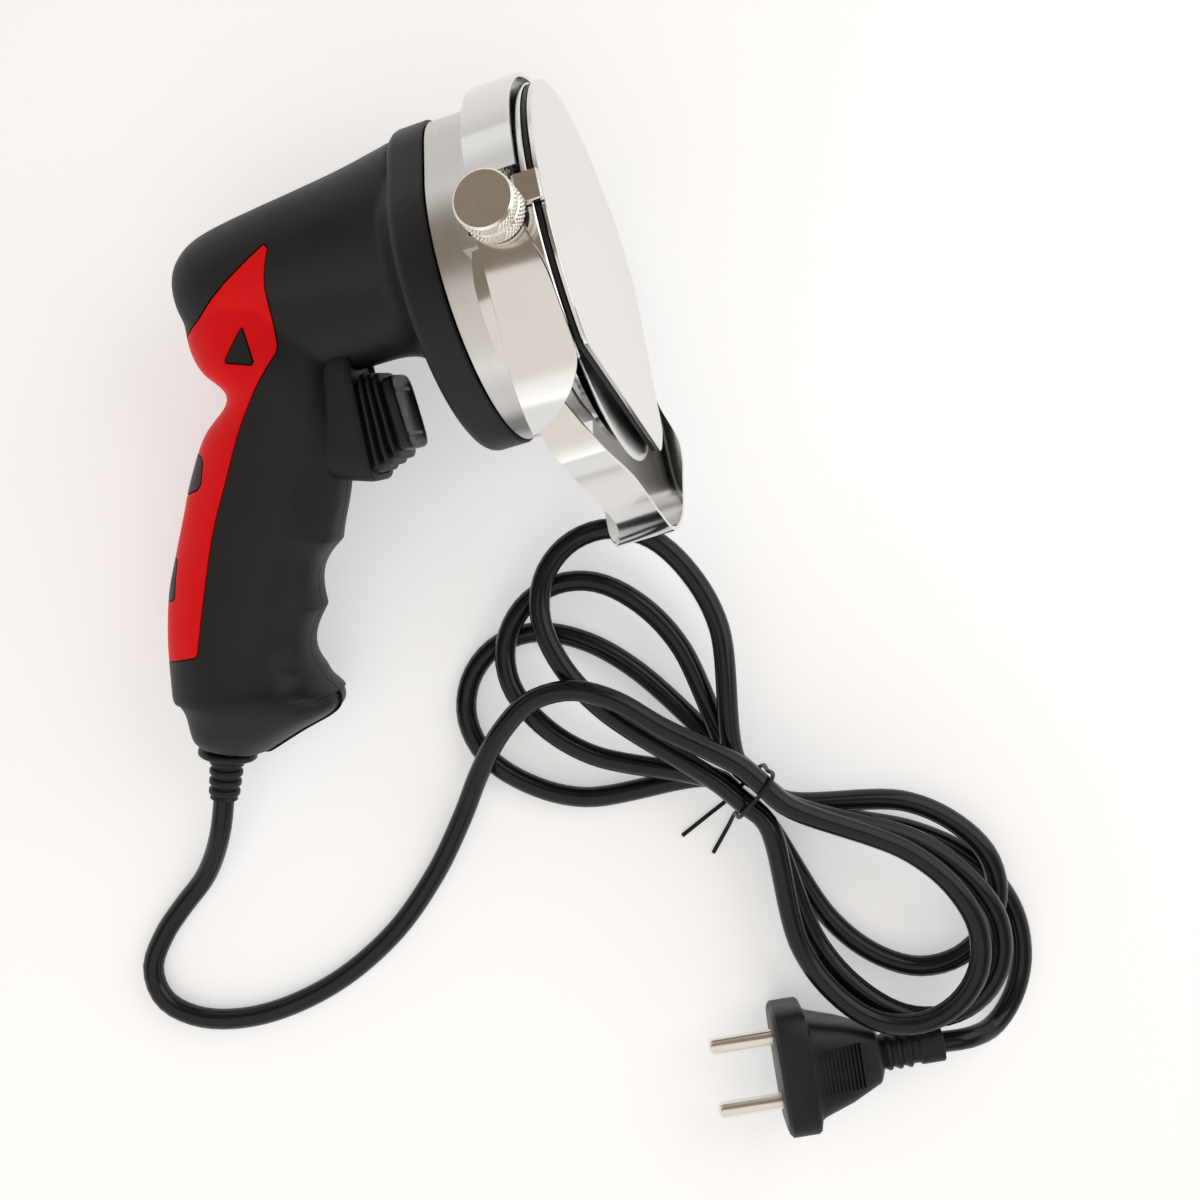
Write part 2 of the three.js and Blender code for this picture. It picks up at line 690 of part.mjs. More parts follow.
steel(tool, "trigger_spring", wire(springPoints, SPRING_WIRE_RADIUS, 5));
black(
  tool,
  "switch_body",
  block(
    SWITCH_FRONT_X - SWITCH_LENGTH,
    SWITCH_FRONT_X,
    -SWITCH_WIDTH / 2,
    SWITCH_WIDTH / 2,
    TRIGGER_Z - SWITCH_HEIGHT / 2,
    TRIGGER_Z + SWITCH_HEIGHT / 2,
  ),
);

// Motor
const frontBearingX = MOTOR_FRONT_X - SMALL_BEARING_WIDTH - 0.2;
const canInner = MOTOR_RADIUS - MOTOR_WALL;
steel(
  tool,
  "motor_can",
  turned(
    [
      [canInner, MOTOR_REAR_X],
      [MOTOR_RADIUS, MOTOR_REAR_X],
      [MOTOR_RADIUS, MOTOR_FRONT_X],
      [SMALL_BEARING_RADIUS + RUNNING_GAP, MOTOR_FRONT_X],
      [SMALL_BEARING_RADIUS + RUNNING_GAP, frontBearingX - GAP],
      [SHAFT_RADIUS + 1, frontBearingX - GAP],
      [SHAFT_RADIUS + 1, frontBearingX - GAP - 1],
      [canInner, frontBearingX - GAP - 1],
      [canInner, MOTOR_REAR_X],
    ],
    ON_MOTOR,
    ALONG_X,
  ),
);
const bellFront = MOTOR_REAR_X - GAP;
const bellRear = bellFront - END_BELL_LENGTH;
const rearBearingX = bellRear + 0.2;
const brushFromY = COMMUTATOR_RADIUS + GAP;
const brushX = bellFront - 3.5;
const brushSlot = (grow, fromY, toY) =>
  block(
    brushX - BRUSH_SIZE / 2 - grow,
    brushX + BRUSH_SIZE / 2 + grow,
    fromY,
    toY,
    MOTOR_Z - BRUSH_SIZE / 2 - grow,
    MOTOR_Z + BRUSH_SIZE / 2 + grow,
  );
const bell = ring(
  SMALL_BEARING_RADIUS + RUNNING_GAP,
  END_BELL_RADIUS,
  bellRear,
  bellFront,
  ON_MOTOR,
  ALONG_X,
);
black(tool, "motor_end_bell", cut(bell, brushSlot(GAP / 2, -12, 12)));
steel(tool, "motor_shaft", rod(SHAFT_RADIUS, bellRear + 0.5, PULLEY_MIDDLE_X + 6.5, ON_MOTOR, ALONG_X, 24));
brass(tool, "motor_armature", ring(SHAFT_RADIUS + 0.1, ARMATURE_RADIUS, -42, -12, ON_MOTOR, ALONG_X));
brass(
  tool,
  "commutator",
  ring(SHAFT_RADIUS + 0.1, COMMUTATOR_RADIUS, bellFront - 7, bellFront - 0.4, ON_MOTOR, ALONG_X, 24),
);
for (const [name, x] of [["motor_front_bearing", frontBearingX], ["motor_rear_bearing", rearBearingX]]) {
  steel(
    tool,
    name,
    ring(SHAFT_RADIUS + RUNNING_GAP, SMALL_BEARING_RADIUS, x, x + SMALL_BEARING_WIDTH, ON_MOTOR, ALONG_X, 24),
  );
}
black(tool, "brush_1", brushSlot(0, -11.5, -brushFromY));
black(tool, "brush_2", brushSlot(0, brushFromY, 11.5));
add(
  tool,
  "rectifier_board",
  block(bellRear - GAP - 1.6, bellRear - GAP, -7, 7, MOTOR_Z - 7, MOTOR_Z + 7),
  0x2f5a3a,
  0.6,
  0,
);
steel(
  tool,
  "motor_mount_plate",
  ring(SHAFT_RADIUS + 1.5, MOUNT_RADIUS, MOTOR_FRONT_X + GAP, MOTOR_FRONT_X + GAP + MOUNT_THICKNESS, ON_MOTOR, ALONG_X),
);

// Belt drive
function pulleyOutline(teeth, pitchRadius, centreZ) {
  const outline = [];
  for (let k = 0; k < teeth; k += 1) {
    for (const [part, depth] of [[0, 0], [0.5, 0], [0.6, TOOTH_DEPTH], [0.9, TOOTH_DEPTH]]) {
      const a = (2 * Math.PI * (k + part)) / teeth;
      const r = pitchRadius - PULLEY_DROP - depth;
      outline.push([r * Math.cos(a), centreZ + r * Math.sin(a)]);
    }
  }
  return outline;
}
const beltFrom = PULLEY_MIDDLE_X - BELT_WIDTH / 2;
const beltTo = PULLEY_MIDDLE_X + BELT_WIDTH / 2;
const pulleyFrom = beltFrom - GAP;
const pulleyTo = beltTo + GAP;
const motorToothed = plateX(pulleyOutline(MOTOR_TEETH, MOTOR_PITCH_RADIUS, MOTOR_Z), pulleyFrom - 0.1, pulleyTo + 0.1);
const motorFlanges = [pulleyFrom - PULLEY_FLANGE, pulleyTo].map((x) =>
  rod(MOTOR_PITCH_RADIUS + 1.5, x, x + PULLEY_FLANGE, ON_MOTOR, ALONG_X, 24),
);
const motorPulleyBore = rod(SHAFT_RADIUS + 0.1, 0, 60, ON_MOTOR, ALONG_X, 24);
steel(tool, "motor_pulley", cut(join(motorToothed, ...motorFlanges), motorPulleyBore));
const bladeToothed = plateX(pulleyOutline(BLADE_TEETH, BLADE_PITCH_RADIUS, SPINDLE_Z), pulleyFrom + GAP, pulleyTo - GAP);
const bladePulleyBore = rod(SPINDLE_RADIUS + 0.1, 0, 60, ON_SPINDLE, ALONG_X, 24);
steel(tool, "blade_pulley", cut(bladeToothed, bladePulleyBore));
const beltGrow = -PULLEY_DROP + GAP;
const beltLoop = (grow) => roundTwo(MOTOR_PITCH_RADIUS, MOTOR_Z, BLADE_PITCH_RADIUS, SPINDLE_Z, grow, 64);
rubber(
  tool,
  "timing_belt",
  cut(plateX(beltLoop(beltGrow + BELT_THICKNESS), beltFrom, beltTo), plateX(beltLoop(beltGrow), beltFrom - 1, beltTo + 1)),
);

// Spindle and bearings
const seatX = SHROUD_REAR_X + 0.2;
const hubX = seatX + SEAT_THICKNESS + GAP;
const nutX = hubX + BLADE_THICKNESS + GAP;
const rearSpindleX = HOUSING_REAR_X + HOUSING_BACK - 0.4;
const shoulderX = rearSpindleX + SMALL_BEARING_WIDTH + GAP;
steel(
  tool,
  "blade_spindle",
  turned(
    [
      [0, rearSpindleX],
      [SPINDLE_TAIL_RADIUS, rearSpindleX],
      [SPINDLE_TAIL_RADIUS, shoulderX],
      [SPINDLE_RADIUS, shoulderX],
      [SPINDLE_RADIUS, seatX],
      [SEAT_RADIUS, seatX],
      [SEAT_RADIUS, seatX + SEAT_THICKNESS],
      [SPINDLE_RADIUS, seatX + SEAT_THICKNESS],
      [SPINDLE_RADIUS, nutX + NUT_THICKNESS + 0.4],
      [0, nutX + NUT_THICKNESS + 0.4],
    ],
    ON_SPINDLE,
    ALONG_X,
  ),
);
steel(
  tool,
  "spindle_rear_bearing",
  ring(
    SPINDLE_TAIL_RADIUS + RUNNING_GAP,
    SMALL_BEARING_RADIUS,
    rearSpindleX,
    rearSpindleX + SMALL_BEARING_WIDTH,
    ON_SPINDLE,
    ALONG_X,
    24,
  ),
);
const frontBearingTo = PLATE_REAR_X + PLATE_THICKNESS - 0.9;
const frontBearingFrom = frontBearingTo - FRONT_BEARING_WIDTH;
steel(
  tool,
  "spindle_front_bearing",
  ring(SPINDLE_RADIUS + RUNNING_GAP, FRONT_BEARING_RADIUS, frontBearingFrom, frontBearingTo, ON_SPINDLE, ALONG_X),
);

// Head housing and bearing plate
const housingCup = cut(
  plateX(egg(-HOUSING_INSET), HOUSING_REAR_X, HOUSING_FRONT_X),
  plateX(egg(-HOUSING_INSET - HOUSING_WALL), HOUSING_REAR_X + HOUSING_BACK, HOUSING_FRONT_X + 1),
);
const rearBoss = rod(SMALL_BEARING_RADIUS + 2, HOUSING_REAR_X + 1, rearSpindleX + SMALL_BEARING_WIDTH, ON_SPINDLE, ALONG_X);
const rearPocket = rod(SMALL_BEARING_RADIUS + RUNNING_GAP, rearSpindleX - GAP, 30, ON_SPINDLE, ALONG_X);
const shaftHole = rod(SHAFT_RADIUS + 4, 0, 20, ON_MOTOR, ALONG_X, 24);
steel(tool, "head_housing", cut(join(housingCup, rearBoss), rearPocket, shaftHole, ...housingScrewHoles));
HOUSING_SCREWS.forEach(([y, z], i) => {
  const headFrom = HOUSING_REAR_X + HOUSING_BACK + GAP;
  const shank = rod(SCREW_RADIUS, FLANGE_WEB + 2, headFrom + 1, v3(0, y, z), ALONG_X, 10);
  const head = rod(SCREW_HEAD_RADIUS, headFrom, headFrom + SCREW_HEAD_THICKNESS, v3(0, y, z), ALONG_X, 14);
  steel(tool, `housing_screw_${i + 1}`, join(shank, head));
});
const plateFront = PLATE_REAR_X + PLATE_THICKNESS;
const plateBoss = rod(FRONT_BEARING_RADIUS + 2, frontBearingFrom, PLATE_REAR_X + 1, ON_SPINDLE, ALONG_X);
const platePocket = rod(FRONT_BEARING_RADIUS + RUNNING_GAP, 0, frontBearingTo + GAP, ON_SPINDLE, ALONG_X);
const plateHole = rod(SPINDLE_RADIUS + 2, 0, 60, ON_SPINDLE, ALONG_X, 24);
const bearingPlate = plateX(egg(-HOUSING_INSET), PLATE_REAR_X, plateFront);
steel(tool, "bearing_plate", cut(join(bearingPlate, plateBoss), platePocket, plateHole));

// Blade shroud: a back disc with a rim over the top of the blade
function arc(radius, fromAngle, toAngle, count) {
  const points = [];
  for (let k = 0; k <= count; k += 1) {
    const a = fromAngle + ((toAngle - fromAngle) * k) / count;
    points.push([radius * Math.sin(a), SPINDLE_Z + radius * Math.cos(a)]);
  }
  return points;
}
const sector = (radius) => [...arc(radius, -RIM_HALF_ANGLE, RIM_HALF_ANGLE, 36), [0, SPINDLE_Z]];
const rimBand = [
  ...arc(SHROUD_RADIUS, -RIM_HALF_ANGLE, RIM_HALF_ANGLE, 36),
  ...arc(SHROUD_RADIUS - RIM_THICKNESS, RIM_HALF_ANGLE, -RIM_HALF_ANGLE, 36),
];
const shroudDisc = rod(SHROUD_DISC_RADIUS, SHROUD_REAR_X, SHROUD_REAR_X + SHROUD_THICKNESS, ON_SPINDLE, ALONG_X, 56);
const shroudTop = plateX(sector(SHROUD_RADIUS), SHROUD_REAR_X, SHROUD_REAR_X + SHROUD_THICKNESS);
const shroudRim = plateX(rimBand, SHROUD_REAR_X, RIM_FRONT_X);
const shroudHole = rod(SEAT_RADIUS + 2, 0, 60, ON_SPINDLE, ALONG_X);
mirror(tool, "blade_shroud", cut(join(shroudDisc, shroudTop, shroudRim), shroudHole));

// Blade and nut
mirror(
  tool,
  "blade",
  turned(
    [
      [SPINDLE_RADIUS + 0.1, hubX],
      [20, hubX],
      [BLADE_RADIUS - 3, hubX + BLADE_DISH],
      [BLADE_RADIUS, hubX + BLADE_DISH + BLADE_THICKNESS - 0.15],
      [BLADE_RADIUS - 0.2, hubX + BLADE_DISH + BLADE_THICKNESS],
      [20, hubX + BLADE_THICKNESS],
      [SPINDLE_RADIUS + 0.1, hubX + BLADE_THICKNESS],
      [SPINDLE_RADIUS + 0.1, hubX],
    ],
    ON_SPINDLE,
    ALONG_X,
    56,
  ),
);
const nutBore = rod(SPINDLE_RADIUS + 0.1, 0, 60, ON_SPINDLE, ALONG_X, 24);
steel(tool, "blade_nut", cut(rod(NUT_RADIUS, nutX, nutX + NUT_THICKNESS, ON_SPINDLE, ALONG_X, 6), nutBore));

// Seal and front cover: a disc with two flats, the near one bares the blade's edge
function coverForm(inset, fromX, toX) {
  const disc = rod(COVER_RADIUS - inset, fromX, toX, ON_SPINDLE, ALONG_X, 72);
  const half = (angle, distance) => {
    const out = [Math.sin(angle), -Math.cos(angle)];
    const along = [-out[1], out[0]];
    const corner = (d, t) => [out[0] * d + along[0] * t, SPINDLE_Z + out[1] * d + along[1] * t];
    const near = distance - inset;
    return plateX([corner(near, -90), corner(near + 60, -90), corner(near + 60, 90), corner(near, 90)], fromX - 1, toX + 1);
  };
  return cut(disc, half(-NEAR_FLAT_ANGLE, NEAR_FLAT_DISTANCE), half(FAR_FLAT_ANGLE, FAR_FLAT_DISTANCE));
}
const gasketHole = rod(NUT_RADIUS + 2, 0, 60, ON_SPINDLE, ALONG_X);
rubber(tool, "cover_gasket", cut(coverForm(GASKET_INSET, GASKET_REAR_X, GASKET_REAR_X + GASKET_THICKNESS), gasketHole));
mirror(tool, "front_cover", coverForm(0, COVER_REAR_X, COVER_REAR_X + COVER_THICKNESS));
for (const [name, side] of [["cover_clip_right", -1], ["cover_clip_left", 1]]) {
  const out = v3(0, side * Math.cos(CLIP_ANGLE), Math.sin(CLIP_ANGLE));
  const along = v3(0, -side * Math.sin(CLIP_ANGLE), Math.cos(CLIP_ANGLE));
  const corner = (r, t) => {
    const p = out.clone().multiplyScalar(r).addScaledVector(along, t);
    return [p.y, SPINDLE_Z + p.z];
  };
  const low = SHROUD_RADIUS + GAP;
  const high = low + CLIP_THICKNESS;
  const h = CLIP_WIDTH / 2;
  const outline = [corner(low, -h), corner(high, -h), corner(high, h), corner(low, h)];
  const inner = rod(low, 0, 60, ON_SPINDLE, ALONG_X, 96);
  const front = COVER_REAR_X + COVER_THICKNESS - 0.1;
  mirror(tool, name, cut(plateX(side < 0 ? outline : outline.reverse(), CLIP_REAR_X, front), inner));
}

// Slice guide: a band over the head whose lower end is a scoop under the blade, and a side petal
function strip(stations, thickness, steps) {
  const rear = new THREE.CatmullRomCurve3(stations.map(([y, z, from]) => v3(from, y, z)), false, "centripetal");
  const front = new THREE.CatmullRomCurve3(stations.map(([y, z, , to]) => v3(to, y, z)), false, "centripetal");
  const middle = new THREE.CatmullRomCurve3(stations.map(([y, z]) => v3(0, y, z)), false, "centripetal");
  const rings = [];
  for (let k = 0; k <= steps; k += 1) {
    const u = k / steps;
    const at = middle.getPoint(u);
    const along = middle.getTangent(u);
    const out = v3(0, -along.z, along.y).multiplyScalar(thickness / 2);
    const r = rear.getPoint(u).x;
    const f = front.getPoint(u).x;
    rings.push([
      v3(r, at.y, at.z).add(out),
      v3(f, at.y, at.z).add(out),
      v3(f, at.y, at.z).sub(out),
      v3(r, at.y, at.z).sub(out),
    ]);
  }
  return solid(skin(rings));
}
const bandMiddle = BAND_RADIUS + GUIDE_THICKNESS / 2;
const polar = (radius, degrees, from, to) => {
  const a = THREE.MathUtils.degToRad(degrees);
  return [radius * Math.sin(a), SPINDLE_Z + radius * Math.cos(a), from, to];
};
// The far side is a flat wall, on which the tool rests when it lies down.
const flatSide = (z, from, to) => [bandMiddle + Math.tan(LYING_ROLL) * (z - SPINDLE_Z), z, from, to];
// The scoop grows and shrinks about the spindle with the band.
const scoopScale = bandMiddle / SCOOP_DRAWN_RADIUS;
const scoop = (y, z, from, to) => [y * scoopScale, SPINDLE_Z + (z - SPINDLE_Z) * scoopScale, from, to];
// Over the top the band clears the shroud and the head, whichever stands higher.
const bandTop = Math.max(bandMiddle, EGG_TOP_RADIUS - SPINDLE_Z + BAND_TOP_CLEARANCE);
const bandStations = [
  polar(bandMiddle, -63, BAND_REAR_X, BAND_FRONT_X),
  ...[-50, -35, -18, 0, 18, 34].map((d) => polar(bandTop, d, BAND_REAR_X, BAND_FRONT_X)),
  scoop(42, 21.5, BAND_REAR_X, 37.5),
  scoop(53, 18.5, FLAT_REAR_X, 37),
  flatSide(11, FLAT_REAR_X, 37),
  flatSide(3, FLAT_REAR_X, 37.4),
  flatSide(-12, FLAT_REAR_X, 37.8),
  flatSide(-26, FLAT_REAR_X, 38.2),
  flatSide(-42, FLAT_REAR_X, 38.8),
  scoop(46.5, -60, 20, 40.5),
  scoop(37.5, -74, 19, 44.877),
  scoop(26.6, -85.6, 20, 44),
  scoop(13, -93, 22, 43.5),
  scoop(0, -94.7, 26, 42.5),
  scoop(-13, -88.5, 30, 42),
  scoop(-25.5, -78, 27.6, 40.5),
  scoop(-33, -69.5, 25, 37),
  scoop(-37.2, -60.5, 22.8, 33.5),
  scoop(-40, -53.5, 22, 31),
];
mirror(tool, "guide_band", strip(bandStations, GUIDE_THICKNESS, 72));
const petalMiddle = PETAL_RADIUS + GUIDE_THICKNESS / 2;
const petalStations = [
  polar(petalMiddle, -60, 25.2, 34.8),
  polar(petalMiddle, -72, 25, 35),
  polar(petalMiddle, -80, 24.8, 36.8),
  polar(petalMiddle, -90, 24.6, 39),
  polar(petalMiddle, -100, 24, 39.6),
  polar(petalMiddle, -112, 22.6, 39.6),
  polar(petalMiddle, -120, 22, 36.6),
  polar(petalMiddle, -127, 21.6, 30.6),
  polar(petalMiddle, -132.5, 21.4, 23.2),
];
const clampOut = v3(0, -Math.cos(CLAMP_ANGLE), Math.sin(CLAMP_ANGLE));
const clampAlong = v3(0, Math.sin(CLAMP_ANGLE), Math.cos(CLAMP_ANGLE));
const clampBase = v3(CLAMP_X, 0, SPINDLE_Z);
const clampHole = rod(CLAMP_SCREW_RADIUS + SCREW_GAP, 0, 80, clampBase, clampOut, 20);
mirror(tool, "guide_petal", cut(strip(petalStations, GUIDE_THICKNESS, 40), clampHole));

// Clamp: a rail on the head's flank with a slot along X, and a nut, screw and knob that slide with the guide
function clampBlock(fromR, toR, halfWidth, fromX, toX) {
  const corner = (r, t) => {
    const p = clampOut.clone().multiplyScalar(r).addScaledVector(clampAlong, t);
    return [p.y, SPINDLE_Z + p.z];
  };
  return plateX(
    [corner(fromR, -halfWidth), corner(fromR, halfWidth), corner(toR, halfWidth), corner(toR, -halfWidth)],
    fromX,
    toX,
  );
}
const railTop = PETAL_RADIUS - GAP;
const slotTop = railTop - SLOT_LIP;
const slotFloor = slotTop - SLOT_DEPTH + SLOT_LIP;
const mouthFrom = CLAMP_X - GUIDE_TRAVEL - CLAMP_SCREW_RADIUS - GAP;
const railSlot = join(
  clampBlock(slotFloor, slotTop, SLOT_WIDTH / 2, RAIL_REAR_X + RAIL_WALL, RAIL_FRONT_X + 1),
  clampBlock(slotTop - 1, railTop + 1, SLOT_MOUTH / 2, mouthFrom, RAIL_FRONT_X + 1),
);
const railRound = rod(railTop, RAIL_REAR_X - 1, RAIL_FRONT_X + 1, ON_SPINDLE, ALONG_X, 96);
steel(
  tool,
  "clamp_rail",
  cut(
    clampBlock(34, railTop + 2, RAIL_WIDTH / 2, RAIL_REAR_X, RAIL_FRONT_X).intersect(railRound),
    plateX(egg(-HOUSING_INSET + GAP), 0, 60),
    railSlot,
  ),
);
steel(
  tool,
  "clamp_nut",
  cut(
    clampBlock(slotFloor + GAP, slotTop - GAP, NUT_HALF, CLAMP_X - NUT_HALF, CLAMP_X + NUT_HALF),
    clampHole,
  ),
);
const knobFrom = BAND_RADIUS + GAP;
const knobTo = knobFrom + KNOB_HEIGHT;
const screwTop = knobFrom + KNOB_HEIGHT * 0.6;
steel(tool, "clamp_screw", rod(CLAMP_SCREW_RADIUS, slotFloor + GAP, screwTop, clampBase, clampOut, 20));
const knobMiddle = (knobFrom + knobTo) / 2;
const knob = turned(
  [
    [0, knobFrom],
    [KNOB_RADIUS - 0.6, knobFrom],
    [KNOB_RADIUS, knobFrom + 0.6],
    [KNOB_RADIUS, knobMiddle - 0.6],
    [KNOB_RADIUS - KNOB_GROOVE, knobMiddle - 0.3],
    [KNOB_RADIUS - KNOB_GROOVE, knobMiddle + 0.3],
    [KNOB_RADIUS, knobMiddle + 0.6],
    [KNOB_RADIUS, knobTo - 0.7],
    [KNOB_RADIUS - 0.7, knobTo],
    [0, knobTo],
  ],
  clampBase,
  clampOut,
);
steel(tool, "clamp_knob", cut(knob, rod(CLAMP_SCREW_RADIUS + 0.1, 0, screwTop + GAP, clampBase, clampOut, 20)));

// Strain relief
const reliefProfile = [
  [CORD_RADIUS - 0.6, -STEM_LENGTH],
  [STEM_RADIUS, -STEM_LENGTH],
  [STEM_RADIUS, GAP],
  [WASHER_RADIUS, GAP],
  [WASHER_RADIUS, GAP + WASHER_THICKNESS],
];
const sleeveFrom = GAP + WASHER_THICKNESS;
for (let k = 0; k < 4; k += 1) {
  const s = sleeveFrom + 0.6 + (k * (SLEEVE_LENGTH - 1)) / 4;
  const r = SLEEVE_RADIUS - 0.15 * k;
  reliefProfile.push([r - 0.9, s], [r, s + 0.3], [r, s + 1.7], [r - 0.9, s + 2]);
}
const sleeveTo = sleeveFrom + SLEEVE_LENGTH;
reliefProfile.push([SLEEVE_RADIUS - 0.9, sleeveTo], [CORD_RADIUS + GAP, sleeveTo]);
reliefProfile.push([CORD_RADIUS + GAP, sleeveTo - 4], [CORD_RADIUS - 0.6, sleeveTo - 4], [CORD_RADIUS - 0.6, -STEM_LENGTH]);
rubber(tool, "cord_strain_relief", turned(reliefProfile, reliefBase, reliefAlong, 12));

// Pose on the table
const lying = new THREE.Group();
lying.name = "lying_tool";
tool.rotation.x = -Math.PI / 2 + LYING_ROLL;
lying.rotation.y = -LYING_PITCH;
lying.add(tool);
lying.updateMatrixWorld(true);
const extent = new THREE.Box3().setFromObject(lying, true);
lying.position.set(-(extent.min.x + extent.max.x) / 2, -(extent.min.y + extent.max.y) / 2, -extent.min.z);

lying.updateMatrixWorld(true);

// Plug, in its own frame: X from the pin face to the cord
const cordGroup = new THREE.Group();
cordGroup.name = "mains_cord";
const plugFrame = new THREE.Matrix4().makeRotationZ(PLUG_YAW).setPosition(PLUG_X, PLUG_Y, PLUG_Z);
function plugRing(x, halfWidth, halfHeight) {
  const points = [];
  for (let k = 0; k < 16; k += 1) {
    const a = (2 * Math.PI * (k + 0.5)) / 16;
    const c = Math.sign(Math.cos(a)) * Math.abs(Math.cos(a)) ** 0.5;
    const w = Math.sign(Math.sin(a)) * Math.abs(Math.sin(a)) ** 0.5;
    points.push(v3(x, halfWidth * c, halfHeight * w));
  }
  return points;
}
const plugRings = [
  plugRing(0, 17.3, 11.8),
  plugRing(1.2, 18.5, 13),
  plugRing(9.3, 18.5, 13),
  plugRing(10.5, 14.5, 12),
  plugRing(20, 11.5, 10.3),
  plugRing(29.5, 7.5, 7.2),
  plugRing(31, 4.5, 4.5),
];
for (let k = 0; k < 3; k += 1) {
  const x = 32 + 3 * k;
  plugRings.push(plugRing(x, 5.2, 5.2), plugRing(x + 1.4, 5.2, 5.2), plugRing(x + 1.8, 4.4, 4.4));
}
plugRings.push(plugRing(PLUG_LENGTH - 7.4, 4.4, 4.4), plugRing(PLUG_LENGTH - 7, 5, 5), plugRing(PLUG_LENGTH, 5, 5));
const plugBore = rod(CORD_RADIUS + GAP, PLUG_LENGTH - 5, PLUG_LENGTH + 5, v3(0, 0, 0), ALONG_X, 16);
const pinHole = (y) => rod(PIN_RADIUS + RUNNING_GAP * 2, -1, 6, v3(0, y, 0), ALONG_X, 14);
const plugSolid = cut(solid(skin(plugRings)), plugBore, pinHole(PIN_SPACING / 2), pinHole(-PIN_SPACING / 2));
rubber(cordGroup, "plug_body", geometryOf(plugSolid).applyMatrix4(plugFrame));
[-PIN_SPACING / 2, PIN_SPACING / 2].forEach((y, i) => {
  const pin = turned(
    [
      [0, 5.5],
      [PIN_RADIUS, 5.5],
      [PIN_RADIUS, -PIN_LENGTH + 1.5],
      [PIN_RADIUS - 0.7, -PIN_LENGTH + 0.3],
      [0, -PIN_LENGTH],
    ],
    v3(0, y, 0),
    ALONG_X,
    14,
  );
  steel(cordGroup, `plug_pin_${i + 1}`, geometryOf(pin).applyMatrix4(plugFrame));
});

// Hank, from the plug upwards: each lobe leaves the tie in its own layer and comes back one side over
const waistAlong = v3(Math.cos(WAIST_ANGLE), Math.sin(WAIST_ANGLE), 0);
const waistSide = v3(-waistAlong.y, waistAlong.x, 0);
const waistPoint = (along, side, layer) =>
  v3(TIE_X, TIE_Y, CORD_RADIUS + TIE_LIFT + LAYER * layer)
    .addScaledVector(waistAlong, along)
    .addScaledVector(waistSide, side);
const atPlug = (x) => v3(x, 0, 0).applyMatrix4(plugFrame);
const hankPoints = [atPlug(PLUG_LENGTH - 4), atPlug(PLUG_LENGTH + 2), atPlug(PLUG_LENGTH + 8)];
LAST_STRAND.forEach(([x, y, z]) => hankPoints.push(v3(x, y, z)));
hankPoints.push(waistPoint(11, STRAND_OFFSET, 0), waistPoint(0, STRAND_OFFSET, 0), waistPoint(-9, STRAND_OFFSET, 0));
LOBES.forEach(([degrees, length], i) => {
  const a = THREE.MathUtils.degToRad(degrees);
  const out = v3(Math.cos(a), Math.sin(a), 0);
  const across = v3(out.y, -out.x, 0);
  const climbs = i % 2 === 1;
  const layer = Math.floor(i / 2);
  for (let k = 1; k < 12; k += 1) {
    const u = k / 12;
    if (u < 0.12 || u > 0.88) continue;
    const climb = climbs ? THREE.MathUtils.smoothstep(u, 0.1, 0.65) : 0;
    const z = CORD_RADIUS + 0.2 + LAYER * (layer + climb) + (TIE_LIFT - 0.2) * (1 - Math.sin(Math.PI * u));
    const side = STRAND_OFFSET * (1 - 2 * u) + LOBE_WIDTH * Math.sin(2 * Math.PI * u);
    hankPoints.push(
      v3(TIE_X, TIE_Y, z).addScaledVector(out, length * Math.sin(Math.PI * u)).addScaledVector(across, side),
    );
  }
  const side = climbs ? STRAND_OFFSET : -STRAND_OFFSET;
  const turn = climbs ? 1 : -1;
  const level = layer + (climbs ? 1 : 0);
  for (const along of [9, 0, -9]) hankPoints.push(waistPoint(along * turn, side, level));
});
const reliefAt = (distance) =>
  reliefBase.clone().addScaledVector(reliefAlong, distance).applyMatrix4(tool.matrixWorld);
const leadPoints = [reliefAt(sleeveTo - 3.5), reliefAt(sleeveTo + 1), reliefAt(sleeveTo + 6)];
LEAD.forEach(([x, y, z]) => leadPoints.push(v3(x, y, z)));
const route = new THREE.CatmullRomCurve3([...leadPoints, ...hankPoints.reverse()], false, "centripetal");
route.arcLengthDivisions = 3000;
const fullLength = route.getLength();
// The free stretch ends where the top strand has left the tie.
let leadPart = 0;
let nearest = Infinity;
for (let k = 0; k <= 2000; k += 1) {
  const near = route.getPointAt(k / 2000).distanceTo(v3(...LEAD[LEAD.length - 1]));
  if (near < nearest) {
    nearest = near;
    leadPart = k / 2000;
  }
}
const LEAD_STEPS = 60;
const HANK_STEPS = 150;
const stretch = (from, to, steps) => {
  const points = [];
  for (let k = 0; k <= steps; k += 1) points.push(route.getPointAt(from + ((to - from) * k) / steps));
  return points;
};
rubber(cordGroup, "cord_lead", wire(stretch(0, leadPart, LEAD_STEPS), CORD_RADIUS, 8));
const hankLine = stretch(leadPart + GAP / fullLength, 1, HANK_STEPS);
rubber(cordGroup, "cord_hank", wire(hankLine, CORD_RADIUS, 6));
const cordLine = stretch(0, 1, 900);
let leastGap = Infinity;
let leastAt = null;
for (let i = 0; i < cordLine.length; i += 1) {
  for (let k = i + 1; k < cordLine.length; k += 1) {
    if (((k - i) * fullLength) / 900 < 8 * CORD_RADIUS) continue;
    const apart = cordLine[i].distanceTo(cordLine[k]) - 2 * CORD_RADIUS;
    if (apart < leastGap) {
      leastGap = apart;
      leastAt = cordLine[i];
    }
  }
}
console.log(`cord length ${fullLength.toFixed(0)} mm, least gap between its strands ${leastGap.toFixed(2)} mm`);
console.log(`at ${leastAt.toArray().map((q) => q.toFixed(0))}`);

